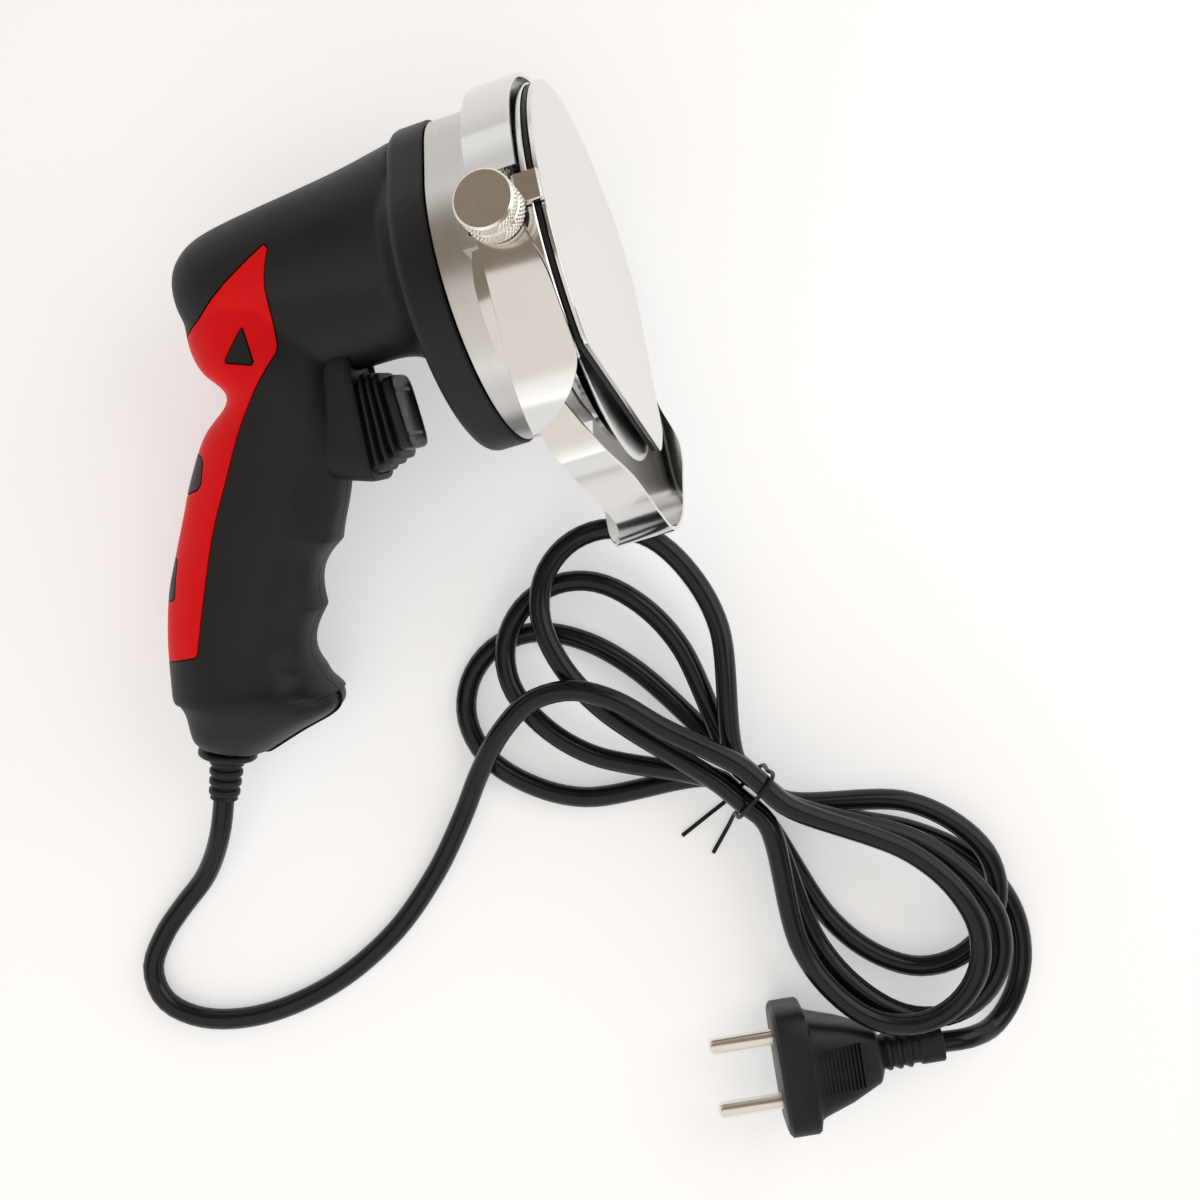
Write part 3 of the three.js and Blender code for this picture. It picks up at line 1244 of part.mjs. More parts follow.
// Wire tie round the waist
const tieTop = CORD_RADIUS * 2 + TIE_LIFT + LAYER * 3 + TIE_WIRE_RADIUS + GAP;
const tieSide = STRAND_OFFSET + CORD_RADIUS + TIE_WIRE_RADIUS + GAP;
const tieLow = TIE_WIRE_RADIUS + 0.35;
const tieRoute = [
  [-5, -24, tieLow],
  [-3, -14, tieLow],
  [-1.4, -6, tieLow],
  [-1, 0, tieLow],
  [-0.6, tieSide - 1.6, tieLow],
  [-0.4, tieSide, tieLow + 2],
  [-0.2, tieSide, tieTop / 2],
  [0, tieSide, tieTop - 2.5],
  [0.2, tieSide - 2, tieTop],
  [0.4, STRAND_OFFSET - 1.5, tieTop],
  [0.8, -STRAND_OFFSET + 1, tieTop - 3.2],
  [1.2, -tieSide + 0.8, tieTop - LAYER - 0.5],
  [1.6, -tieSide, tieTop / 2],
  [2, -tieSide - 0.4, 6],
  [3.6, -tieSide - 5, 2.2],
  [5.5, -tieSide - 14, tieLow],
].map(([along, side, z]) =>
  v3(TIE_X, TIE_Y, z).addScaledVector(waistAlong, along).addScaledVector(waistSide, side),
);
const tieCurve = new THREE.CatmullRomCurve3(tieRoute, false, "centripetal");
steel(cordGroup, "cord_tie", wire(tieCurve.getSpacedPoints(48), TIE_WIRE_RADIUS, 6));

const slicer = new THREE.Group();
slicer.name = "kebab_slicer";
slicer.add(lying, cordGroup);

export default slicer;
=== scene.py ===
import math

import bmesh
import bpy
from mathutils import Matrix, Vector


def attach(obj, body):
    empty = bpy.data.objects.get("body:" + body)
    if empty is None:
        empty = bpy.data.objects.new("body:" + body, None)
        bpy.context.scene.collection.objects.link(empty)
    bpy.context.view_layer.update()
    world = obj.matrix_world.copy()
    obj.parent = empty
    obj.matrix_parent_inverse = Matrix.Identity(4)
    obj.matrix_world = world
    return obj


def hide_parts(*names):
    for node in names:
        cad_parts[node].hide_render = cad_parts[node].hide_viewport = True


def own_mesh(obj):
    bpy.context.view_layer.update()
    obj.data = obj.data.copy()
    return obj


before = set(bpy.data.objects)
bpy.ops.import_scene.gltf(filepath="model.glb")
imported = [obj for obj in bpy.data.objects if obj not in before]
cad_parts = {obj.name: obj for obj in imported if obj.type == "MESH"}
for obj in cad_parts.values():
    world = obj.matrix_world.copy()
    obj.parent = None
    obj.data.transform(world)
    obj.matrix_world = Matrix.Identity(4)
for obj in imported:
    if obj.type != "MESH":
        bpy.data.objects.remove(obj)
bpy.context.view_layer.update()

# Table, light and camera
# The slicer lies on a pale table under soft studio light and is seen from straight above.
# The table keeps the slicer's shadow and is close to white where nothing shades it.


def put(tree, kind, inputs=None, **settings):
    node = tree.nodes.new(kind)
    for key, value in settings.items():
        setattr(node, key, value)
    for key, value in (inputs or {}).items():
        if isinstance(value, bpy.types.NodeSocket):
            tree.links.new(value, node.inputs[key])
        else:
            node.inputs[key].default_value = value
    return node


def reckoned(tree, operation, *values):
    """The result of one Math node."""
    return put(tree, "ShaderNodeMath", dict(enumerate(values)), operation=operation).outputs[0]


def mixed(tree, factor, low, high):
    """Two colours mixed by a factor."""
    mix = put(tree, "ShaderNodeMix", {"Factor": factor}, data_type="RGBA")
    mix.inputs[6].default_value = (*low, 1)
    mix.inputs[7].default_value = (*high, 1)
    return mix.outputs[2]


def seen_rays(tree):
    """1 for a ray that shows a surface, also in a reflection, and 0 for one that only lights."""
    path = put(tree, "ShaderNodeLightPath").outputs
    first = reckoned(tree, "MAXIMUM", path["Is Camera Ray"], path["Is Glossy Ray"])
    return reckoned(tree, "MAXIMUM", first, path["Is Transmission Ray"])


HORIZON = (1, 1, 1)
CEILING = (0.27, 0.22, 0.17)
WORLD_LEVEL = 0.95
WORLD_SEEN = 0.05
studio = bpy.data.worlds.new("studio")
bpy.context.scene.world = studio
studio.use_nodes = True
backdrop = studio.node_tree.nodes["Background"]
sky_place = put(studio.node_tree, "ShaderNodeTexCoord").outputs["Generated"]
sky = put(studio.node_tree, "ShaderNodeSeparateXYZ", {0: sky_place})
overhead = put(
    studio.node_tree,
    "ShaderNodeMapRange",
    {"Value": sky.outputs[2], "From Min": 0.15, "From Max": 0.6},
    interpolation_type="SMOOTHSTEP",
)
ceiling = mixed(studio.node_tree, overhead.outputs[0], HORIZON, CEILING)
studio.node_tree.links.new(ceiling, backdrop.inputs["Color"])
level = reckoned(studio.node_tree, "MULTIPLY_ADD", seen_rays(studio.node_tree), WORLD_SEEN, WORLD_LEVEL)
studio.node_tree.links.new(level, backdrop.inputs["Strength"])

TABLE_COLOUR = (0.85, 0.865, 0.885, 1)
TABLE_GLOW = 0.41
table_mesh = bpy.data.meshes.new("table")
table_mesh.from_pydata([(-3, -3, 0), (3, -3, 0), (3, 3, 0), (-3, 3, 0)], [], [(0, 1, 2, 3)])
table = bpy.data.objects.new("table", table_mesh)
bpy.context.collection.objects.link(table)
table_paint = bpy.data.materials.new("table_paint")
table_paint.use_nodes = True
table_shader = table_paint.node_tree.nodes["Principled BSDF"]
table_shader.inputs["Base Color"].default_value = TABLE_COLOUR
table_shader.inputs["Roughness"].default_value = 0.7
table_shader.inputs["Emission Color"].default_value = (1, 1, 1, 1)
table_glow = reckoned(table_paint.node_tree, "MULTIPLY", seen_rays(table_paint.node_tree), TABLE_GLOW)
table_paint.node_tree.links.new(table_glow, table_shader.inputs["Emission Strength"])
table_mesh.materials.append(table_paint)

for lamp_name, spot, aim, size, power in (
    ("softbox", (-0.17, -0.31, 0.53), (0.03, 0.02, 0.03), 0.8, 1.35),
    ("side_panel", (0.56, 0.10, 0.50), (0.0, -0.02, 0.03), 0.6, 1.7),
):
    lamp = bpy.data.lights.new(lamp_name, "AREA")
    lamp.size = size
    lamp.energy = power
    holder = bpy.data.objects.new(lamp_name, lamp)
    holder.location = spot
    holder.rotation_euler = (Vector(aim) - Vector(spot)).to_track_quat("-Z", "Y").to_euler()
    bpy.context.collection.objects.link(holder)

FOCAL_LENGTH = 44.55
CAMERA_PLACE = (0.04551, -0.05416, 0.45)
CAMERA_TURN = math.radians(-15.1)
lens = bpy.data.cameras.new("overhead")
lens.lens = FOCAL_LENGTH
lens.sensor_width = 36
camera = bpy.data.objects.new("overhead", lens)
camera.location = CAMERA_PLACE
camera.rotation_euler = (0, 0, CAMERA_TURN)
bpy.context.collection.objects.link(camera)
bpy.context.scene.camera = camera
bpy.context.scene.view_settings.view_transform = "Standard"

# Mains cord
# One length of round black PVC flex: it leaves the butt of the grip, swings across the table and ends in
# a hank of six lobes, three to each end of a wire tie. The cut end goes into the plug.
LYING_PITCH = math.radians(12.65)
LYING_ROLL = math.radians(5.9)
LYING = (
    Matrix.Translation((0.026371, 0.053406, 0.050791))
    @ Matrix.Rotation(-LYING_PITCH, 4, "Y")
    @ Matrix.Rotation(LYING_ROLL - math.pi / 2, 4, "X")
    @ Matrix.Scale(0.001, 4)
)
RELIEF_TILT = math.radians(24)
RELIEF_BASE = Vector((-102.2, 0, -121.8))
RELIEF_ALONG = Vector((-math.sin(RELIEF_TILT), 0, -math.cos(RELIEF_TILT)))
RELIEF_END = 15.3
PLUG_LENGTH = 49
PLUG_PLACE = (
    Matrix.Translation((0.0599, -0.2009, 0.013))
    @ Matrix.Rotation(math.radians(-5.9), 4, "Z")
    @ Matrix.Scale(0.001, 4)
)
CORD_RADIUS = 3.1
LEAD = [
    (-80.5, -91, 11.5),
    (-85, -97.5, 8),
    (-91, -104, 4.6),
    (-99, -110, 3.3),
    (-107, -117, 3.3),
    (-113, -126, 3.3),
    (-112, -136, 3.3),
    (-103, -144, 3.3),
    (-86, -148, 3.3),
    (-63, -145, 3.3),
    (-41, -135, 3.3),
    (-24, -121, 3.6),
    (-11, -106, 6.8),
    (-2, -94, 11.8),
    (8, -83.5, 18),
    (19, -77, 23),
    (31, -77, 25.6),
    (42, -83, 26),
    (53, -94, 25.4),
]
TIE = Vector((73.5, -119.8, 0))
WAIST_ANGLE = math.radians(-55.1)
WAIST = Vector((math.cos(WAIST_ANGLE), math.sin(WAIST_ANGLE), 0))
WAIST_SIDE = Vector((-WAIST.y, WAIST.x, 0))
STRAND_OFFSET = 3.9
LAYER = 6.9
TIE_LIFT = 1.8
LOBE_WIDTH = 21
LOBES = [(143.5, 89), (-46.1, 82), (126.5, 86), (-56.1, 90), (110.9, 90), (-61.1, 84)]
LAST_STRAND = [
    (126, -207, 7.2),
    (135, -200, 4.4),
    (140.5, -189, 3.3),
    (141, -175, 3.3),
    (134, -159, 3.3),
    (119, -146, 3.6),
    (100, -136.5, 4.4),
]


def bent_through(points, spacing):
    """Even points on one smooth bend through a row of points, closer together where the row is."""
    row = [Vector(p) for p in points]
    row = [2 * row[0] - row[1], *row, 2 * row[-1] - row[-2]]
    dense = []
    for p0, p1, p2, p3 in zip(row, row[1:], row[2:], row[3:]):
        t0, t1, t2 = (max((b - a).length, 1e-6) ** 0.5 for a, b in ((p0, p1), (p1, p2), (p2, p3)))
        m1 = ((p1 - p0) / t0 - (p2 - p0) / (t0 + t1) + (p2 - p1) / t1) * t1
        m2 = ((p2 - p1) / t1 - (p3 - p1) / (t1 + t2) + (p3 - p2) / t2) * t1
        square = 3 * (p2 - p1) - 2 * m1 - m2
        cube = 2 * (p1 - p2) + m1 + m2
        for k in range(24):
            t = k / 24
            dense.append(p1 + m1 * t + square * t**2 + cube * t**3)
    dense.append(row[-2])
    reach = [0.0]
    for a, b in zip(dense, dense[1:]):
        reach.append(reach[-1] + (b - a).length)
    count = max(2, round(reach[-1] / spacing))
    even = []
    i = 0
    for k in range(count + 1):
        want = reach[-1] * k / count
        while i < len(reach) - 2 and reach[i + 1] < want:
            i += 1
        even.append(dense[i].lerp(dense[i + 1], (want - reach[i]) / max(reach[i + 1] - reach[i], 1e-9)))
    return even, reach[-1]


def skin(rings, closed_ends=True):
    """A skin over a row of point rings, as a bmesh with its faces outwards."""
    bm = bmesh.new()
    rows = [[bm.verts.new(p) for p in ring] for ring in rings]
    count = len(rows[0])
    for a, b in zip(rows, rows[1:]):
        for k in range(count):
            bm.faces.new((a[k], a[(k + 1) % count], b[(k + 1) % count], b[k]))
    if closed_ends:
        bm.faces.new(reversed(rows[0]))
        bm.faces.new(rows[-1])
    bmesh.ops.recalc_face_normals(bm, faces=bm.faces)
    return bm


def round_tube(points, radius, sides):
    rings = []
    side = Vector((0, 0, 1))
    for i, point in enumerate(points):
        along = (points[min(i + 1, len(points) - 1)] - points[max(i - 1, 0)]).normalized()
        side = (side - along * side.dot(along)).normalized()
        across = along.cross(side)
        turn = [2 * math.pi * k / sides for k in range(sides)]
        rings.append([point + radius * (math.cos(a) * side + math.sin(a) * across) for a in turn])
    return skin(rings)


def finished(name, bm, material, place, crease=35):
    """An object whose place is in its mesh, smooth but for creases."""
    mesh = bpy.data.meshes.new(name)
    bm.to_mesh(mesh)
    bm.free()
    mesh.transform(place)
    mesh.shade_smooth()
    mesh.set_sharp_from_angle(angle=math.radians(crease))
    mesh.materials.append(material)
    thing = bpy.data.objects.new(name, mesh)
    bpy.context.collection.objects.link(thing)
    return thing


def stands_for(thing, body, slot, *nodes):
    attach(thing, body)
    if nodes:
        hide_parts(*nodes)
    return thing


def coating(name, colour, metallic=0.0):
    material = bpy.data.materials.new(name)
    material.use_nodes = True
    shader = material.node_tree.nodes["Principled BSDF"]
    shader.inputs["Base Color"].default_value = (*colour, 1)
    shader.inputs["Metallic"].default_value = metallic
    shader.inputs["Specular IOR Level"].default_value = 0.5 if metallic else 0.3
    return material, material.node_tree, shader


def effect(name, inputs, outputs):
    tree = bpy.data.node_groups.new(name, "ShaderNodeTree")
    for label, kind, value in inputs:
        socket = tree.interface.new_socket(label, in_out="INPUT", socket_type=kind)
        if value is not None:
            socket.default_value = value
    for label, kind in outputs:
        tree.interface.new_socket(label, in_out="OUTPUT", socket_type=kind)
    return tree, put(tree, "NodeGroupInput"), put(tree, "NodeGroupOutput")


FLOAT = "NodeSocketFloat"
VECTOR = "NodeSocketVector"

# Handling marks: soft patches where a surface has been touched, and a sparse fine speckle.
handled, given, taken = effect(
    "handling_marks",
    [("Place", VECTOR, None), ("Patch size", FLOAT, 90.0), ("Dull", FLOAT, 0.5), ("Bright", FLOAT, 0.35)],
    [("Roughness", FLOAT), ("Patches", FLOAT)],
)
patches = put(
    handled,
    "ShaderNodeTexNoise",
    {
        "Vector": given.outputs["Place"],
        "Scale": given.outputs["Patch size"],
        "Detail": 5.0,
        "Roughness": 0.6,
    },
)
between = put(
    handled,
    "ShaderNodeMapRange",
    {
        "Value": patches.outputs[0],
        "From Min": 0.3,
        "From Max": 0.72,
        "To Min": given.outputs["Bright"],
        "To Max": given.outputs["Dull"],
    },
)
handled.links.new(between.outputs[0], taken.inputs["Roughness"])
handled.links.new(patches.outputs[0], taken.inputs["Patches"])


def marked(tree, shader, patch_size, bright, dull):
    """Lets handling marks vary a shader's roughness; gives back their place and their patches."""
    place = put(tree, "ShaderNodeTexCoord").outputs["Object"]
    values = {"Place": place, "Patch size": patch_size, "Bright": bright, "Dull": dull}
    marks = put(tree, "ShaderNodeGroup", values, node_tree=handled)
    tree.links.new(marks.outputs["Roughness"], shader.inputs["Roughness"])
    return place, marks.outputs["Patches"]


def tinted(tree, shader, patches, dark, light):
    tree.links.new(mixed(tree, patches, dark, light), shader.inputs["Base Color"])


def handled_coating(name, colour, marks, tints=None, metallic=0.0):
    """A coating with handling marks in its gloss and, between two tints, in its colour."""
    material, tree, shader = coating(name, colour, metallic)
    place, patches = marked(tree, shader, *marks)
    if tints:
        tinted(tree, shader, patches, *tints)
    return material, tree, shader, place


def embossed(tree, shader, height, strength, depth):
    bump = put(tree, "ShaderNodeBump", {"Height": height, "Strength": strength, "Distance": depth})
    tree.links.new(bump.outputs[0], shader.inputs["Normal"])


FINE_GRAIN = 0.0001


def grained(tree, shader, place, scale, detail, strength):
    """A fine grain from the mould, as a bump."""
    grain = put(tree, "ShaderNodeTexNoise", {"Vector": place, "Scale": scale, "Detail": detail})
    embossed(tree, shader, grain.outputs[0], strength, FINE_GRAIN)


cord_pvc, tree, shader, place = handled_coating(
    "cord_pvc", (0.008, 0.008, 0.009), (160.0, 0.12, 0.24), ((0.006, 0.006, 0.007), (0.014, 0.014, 0.015))
)
grained(tree, shader, place, 900.0, 2.0, 0.08)


def at_waist(along, side, layer):
    return TIE + WAIST * along + WAIST_SIDE * side + Vector((0, 0, CORD_RADIUS + TIE_LIFT + LAYER * layer))


def smooth_rise(t, low, high):
    t = min(max((t - low) / (high - low), 0), 1)
    return t * t * (3 - 2 * t)


hank = [1000 * (PLUG_PLACE @ Vector((PLUG_LENGTH + d, 0, 0))) for d in (-4, 2, 8)]
hank += [Vector(p) for p in LAST_STRAND]
hank += [at_waist(along, STRAND_OFFSET, 0) for along in (11, 0, -9)]
for i, (degrees, length) in enumerate(LOBES):
    out = Vector((math.cos(math.radians(degrees)), math.sin(math.radians(degrees)), 0))
    across = Vector((out.y, -out.x, 0))
    climbs = i % 2 == 1
    for k in range(2, 11):
        u = k / 12
        climb = smooth_rise(u, 0.1, 0.65) if climbs else 0
        high = CORD_RADIUS + 0.2 + LAYER * (i // 2 + climb) + (TIE_LIFT - 0.2) * (1 - math.sin(math.pi * u))
        side = STRAND_OFFSET * (1 - 2 * u) + LOBE_WIDTH * math.sin(2 * math.pi * u)
        hank.append(TIE + out * length * math.sin(math.pi * u) + across * side + Vector((0, 0, high)))
    for along in (9, 0, -9):
        turn = 1 if climbs else -1
        hank.append(at_waist(along * turn, STRAND_OFFSET * turn, i // 2 + (1 if climbs else 0)))
lead = [1000 * (LYING @ (RELIEF_BASE + RELIEF_ALONG * (RELIEF_END + d))) for d in (-3.5, 1, 6)]
lead += [Vector(p) for p in LEAD]
cord_line, cord_length = bent_through(lead + hank[::-1], 3.0)
MILLIMETRES = Matrix.Scale(0.001, 4)
cord = finished("mains_cord", round_tube(cord_line, CORD_RADIUS, 16), cord_pvc, MILLIMETRES, 60)
stands_for(cord, "housing", "cord_black", "cord_lead", "cord_hank")

# Plug
# A moulded two-pin plug: a chunky flange, a tapered grip with fine finger ridges, and a ribbed sleeve that
# bends with the cord. Two solid nickel-plated brass pins are moulded into it.
plug_plastic, tree, shader, place = handled_coating(
    "plug_plastic", (0.011, 0.011, 0.012), (110.0, 0.34, 0.52), ((0.008, 0.008, 0.009), (0.018, 0.018, 0.019))
)
grained(tree, shader, place, 1600.0, 2.0, 0.15)


def rounded_box_ring(half_wide, half_high, power, count, at):
    ring = []
    for k in range(count):
        a = 2 * math.pi * (k + 0.5) / count
        c = math.copysign(abs(math.cos(a)) ** power, math.cos(a))
        s = math.copysign(abs(math.sin(a)) ** power, math.sin(a))
        ring.append(at(half_wide * c, half_high * s))
    return ring


def plug_ring(x, half_wide, half_high, power=0.46):
    return rounded_box_ring(half_wide, half_high, power, 40, lambda y, z: Vector((x, y, z)))


plug_rings = [
    plug_ring(0, 16.6, 11.2),
    plug_ring(0.3, 17.6, 12.2),
    plug_ring(1.2, 18.5, 13),
    plug_ring(8.6, 18.5, 13),
    plug_ring(9.5, 17.9, 12.7),
    plug_ring(10.3, 14.9, 12.1),
    plug_ring(11.5, 14.2, 11.8),
    plug_ring(20, 11.5, 10.3),
    plug_ring(28.9, 7.8, 7.4),
    plug_ring(29.5, 7.2, 6.9),
    plug_ring(30.3, 6, 5.9, 0.6),
    plug_ring(31, 4.5, 4.5, 0.7),
]
for x in (32, 35, 38):
    for dx, r in ((0, 4.9), (0.25, 5.2), (1.15, 5.2), (1.4, 4.9), (1.8, 4.4)):
        plug_rings.append(plug_ring(x + dx, r, r, 0.7))
for x, r in ((41.6, 4.4), (42, 4.8), (42.3, 5), (48.7, 5), (49, 4.8), (49, 3.3), (47, 3.3)):
    plug_rings.append(plug_ring(x, r, r, 0.7 if r > 4 else 1))
plug = finished("plug_moulding", skin(plug_rings), plug_plastic, PLUG_PLACE, 30)
stands_for(plug, "housing", "switch_black", "plug_body")

# The ridges are set on the plug's grip from a row of points, as the screws of the handle are.
points_tree = bpy.data.node_groups.new("set_at_points", "GeometryNodeTree")
points_tree.interface.new_socket("Geometry", in_out="INPUT", socket_type="NodeSocketGeometry")
form_socket = points_tree.interface.new_socket("Form", in_out="INPUT", socket_type="NodeSocketObject")
coat_socket = points_tree.interface.new_socket("Coat", in_out="INPUT", socket_type="NodeSocketMaterial")
points_tree.interface.new_socket("Geometry", in_out="OUTPUT", socket_type="NodeSocketGeometry")
given = put(points_tree, "NodeGroupInput")
form = put(points_tree, "GeometryNodeObjectInfo", {"Object": given.outputs["Form"]})
set_down = put(
    points_tree,
    "GeometryNodeInstanceOnPoints",
    {"Points": given.outputs["Geometry"], "Instance": form.outputs["Geometry"]},
)
solid_row = put(points_tree, "GeometryNodeRealizeInstances", {"Geometry": set_down.outputs[0]})
coated = put(
    points_tree,
    "GeometryNodeSetMaterial",
    {"Geometry": solid_row.outputs[0], "Material": given.outputs["Coat"]},
)
put(points_tree, "NodeGroupOutput", {"Geometry": coated.outputs[0]})


def plain_mesh(thing, place, crease=35):
    """Turns an object's modifiers into a plain mesh in its place."""
    ready = thing.evaluated_get(bpy.context.evaluated_depsgraph_get())
    mesh = bpy.data.meshes.new_from_object(ready)
    thing.modifiers.clear()
    thing.data = mesh
    mesh.transform(place)
    mesh.shade_smooth()
    mesh.set_sharp_from_angle(angle=math.radians(crease))
    return thing


def set_at(name, spots, form_bm, material, place, crease=35):
    form_mesh = bpy.data.meshes.new(name + "_form")
    form_bm.to_mesh(form_mesh)
    form_bm.free()
    form_object = bpy.data.objects.new(name + "_form", form_mesh)
    bpy.context.collection.objects.link(form_object)
    row_mesh = bpy.data.meshes.new(name)
    row_mesh.from_pydata([tuple(s) for s in spots], [], [])
    row = bpy.data.objects.new(name, row_mesh)
    bpy.context.collection.objects.link(row)
    setter = row.modifiers.new("set", "NODES")
    setter.node_group = points_tree
    setter[form_socket.identifier] = form_object
    setter[coat_socket.identifier] = material
    plain_mesh(row, place, crease)
    bpy.data.objects.remove(form_object)
    return row


def bar(length, width, height):
    """A low ridge with rounded flanks, along Y."""
    rings = []
    for y in (-length / 2, -length / 2 + 0.5, length / 2 - 0.5, length / 2):
        drop = 0.3 if abs(y) > length / 2 - 0.1 else 0
        top = height - drop
        profile = ((-width / 2, -1), (-width / 2, 0), (-width / 4, top))
        profile += ((width / 4, top), (width / 2, 0), (width / 2, -1))
        rings.append([Vector((x, y, z)) for x, z in profile])
    return skin(rings)


ridges = set_at(
    "plug_ridges",
    [(12.6 + 1.15 * k, 0, 11.35 - 0.17 * k) for k in range(11)],
    bar(13, 0.75, 0.55),
    plug_plastic,
    PLUG_PLACE,
)
stands_for(ridges, "housing", "switch_black")


def turned(profile, base=(0, 0, 0), along=(1, 0, 0), segments=48):
    """A turned piece: rows of (radius, distance along the axis), closed where the radius is nought."""
    axis = Vector(along).normalized()
    side = Vector((0, 0, 1)) if abs(axis.z) < 0.9 else Vector((0, 1, 0))
    side = (side - axis * side.dot(axis)).normalized()
    across = axis.cross(side)
    turn = [2 * math.pi * k / segments for k in range(segments)]
    rings = []
    for r, s in profile:
        middle = Vector(base) + axis * s
        rings.append([middle + r * (math.cos(a) * side + math.sin(a) * across) for a in turn])
    bm = skin(rings, closed_ends=False)
    bmesh.ops.remove_doubles(bm, verts=bm.verts, dist=1e-4)
    bmesh.ops.recalc_face_normals(bm, faces=bm.faces)
    return bm


nickel = handled_coating(
    "nickel", (0.80, 0.77, 0.71), (240.0, 0.2, 0.26), ((0.77, 0.74, 0.68), (0.83, 0.80, 0.74)), 1.0
)[0]
pin_profile = [(0, 5), (2.4, 5), (2.4, -17.4), (2.25, -18), (1.8, -18.6), (1, -18.95), (0, -19)]
for i, y in enumerate((-9.5, 9.5)):
    pin = finished(f"plug_pin_{i + 1}_plated", turned(pin_profile, (0, y, 0)), nickel, PLUG_PLACE, 30)
    stands_for(pin, "housing", "nickel", f"plug_pin_{i + 1}")

# Wire tie
# A length of plastic-covered wire goes round the waist of the hank, is crossed once and left with two
# loose tails.
TIE_RADIUS = 0.65
tie_cover = handled_coating("tie_cover", (0.010, 0.010, 0.011), (200.0, 0.32, 0.5))[0]
tie_side = STRAND_OFFSET + CORD_RADIUS + 0.95
tie_top = 2 * CORD_RADIUS + TIE_LIFT + 3 * LAYER + 0.95
tie_route = [
    (-5, -24, 1),
    (-3, -14, 1),
    (-1.4, -6, 1),
    (-1, 0, 1),
    (-0.6, tie_side - 1.6, 1),
    (-0.4, tie_side, 3),
    (-0.2, tie_side, tie_top / 2),
    (0, tie_side, tie_top - 2.5),
    (0.2, tie_side - 2, tie_top),
    (0.4, STRAND_OFFSET - 1.5, tie_top),
    (0.8, 1 - STRAND_OFFSET, tie_top - 3.2),
    (1.2, 0.8 - tie_side, tie_top - LAYER - 0.5),
    (1.6, -tie_side, tie_top / 2),
    (2, -tie_side - 0.4, 6),
    (3.6, -tie_side - 5, 2.2),
    (5.5, -tie_side - 14, 1),
]
tie_points = [TIE + WAIST * a + WAIST_SIDE * s + Vector((0, 0, z)) for a, s, z in tie_route]
tie_line, _ = bent_through(tie_points, 0.8)
tie = finished("hank_tie", round_tube(tie_line, TIE_RADIUS, 10), tie_cover, MILLIMETRES, 60)
stands_for(tie, "housing", "steel_satin", "cord_tie")

# Strain relief
# A rubber boot moulded on the cord where it leaves the butt: a washer that seats on the shells and a
# ribbed sleeve.
RELIEF_RIB = ((-0.9, 0), (-0.25, 0.12), (0, 0.45), (0, 1.55), (-0.25, 1.88), (-0.9, 2))
relief_profile = [(2.6, -8), (4.2, -8), (4.2, 0.3), (8.1, 0.3), (8.5, 0.7), (8.5, 1.9), (8.1, 2.3)]
relief_profile.append((4.9, 2.4))
for k in range(4):
    start = 2.9 + 3.0 * k
    radius = 5.0 - 0.15 * k
    relief_profile += [(radius + dr, start + ds) for dr, ds in RELIEF_RIB]
relief_profile += [(4.1, 15.1), (3.9, 15.3), (3.3, 15.3), (3.15, 12), (2.6, 11), (2.6, -8)]
soft_rubber, tree, shader, place = handled_coating(
    "soft_rubber", (0.012, 0.012, 0.013), (130.0, 0.36, 0.56), ((0.009, 0.009, 0.010), (0.020, 0.020, 0.021))
)
grained(tree, shader, place, 1300.0, 3.0, 0.12)
relief_bm = turned(relief_profile, RELIEF_BASE, RELIEF_ALONG, 40)
relief = finished("relief_sleeve", relief_bm, soft_rubber, LYING, 50)
stands_for(relief, "housing", "rubber_black", "cord_strain_relief")

# Handle shells and grip panels
# Two injection-moulded halves in finely textured black plastic, screwed together along the middle of the
# grip. Red soft plastic is moulded into a shallow pocket down the back, round a triangular window and two
# windows on the spine.
BARREL = [(2, 23.8), (0, 23.4), (-16, 21), (-32, 19.5), (-48, 18.2), (-60, 16.7), (-66.5, 14.4)]
BARREL += [(-71, 10.4), (-73.4, 4), (-74, 0)]
BARREL_Z = 1.8
GRIP = [
    (-72.6, -1, -32, -4, 15.5),
    (-73.4, -11, -33, -17, 17),
    (-71.6, -18, -33, -27, 18),
    (-66.6, -26.3, -36, -39, 17.5),
    (-77, -34, -39.5, -52, 17),
    (-85.2, -44.5, -42.9, -62.7, 17),
    (-90.5, -53.5, -49.9, -72.2, 17.3),
    (-97, -64.5, -56.6, -79.7, 17.5),
    (-102, -73.5, -61.3, -90.5, 18),
    (-106.5, -86, -66.6, -100.4, 18.5),
    (-109.5, -98, -66.4, -108.7, 19.3),
    (-110.4, -103, -63.3, -114, 20.2),
    (-109.1, -107.3, -65.6, -119, 19),
    (-109.7, -115.5, -78, -122.4, 16),
    (-108, -118.5, -90, -126, 12),
]


def eased(rows, steps):
    """Rows of numbers with smooth rows put between them."""
    ends = [rows[0], *rows, rows[-1]]
    out = []
    for a, b, c, d in zip(ends, ends[1:], ends[2:], ends[3:]):
        for k in range(steps):
            t = k / steps
            pulls = (
                (-t + 2 * t**2 - t**3) / 2,
                1 - 2.5 * t**2 + 1.5 * t**3,
                (t + 4 * t**2 - 3 * t**3) / 2,
                (t**3 - t**2) / 2,
            )
            out.append(tuple(sum(w * v for w, v in zip(pulls, vs)) for vs in zip(a, b, c, d)))
    out.append(rows[-1])
    return out


def grip_ring(row, count=56):
    back_x, back_z, front_x, front_z, half_wide = row
    middle = Vector((back_x + front_x, 0, back_z + front_z)) / 2
    along = Vector((front_x - back_x, 0, front_z - back_z)) / 2

    def on_section(c, s):
        return middle + along * c + Vector((0, half_wide * s, 0))

    return rounded_box_ring(1, 1, 0.8, count, on_section)


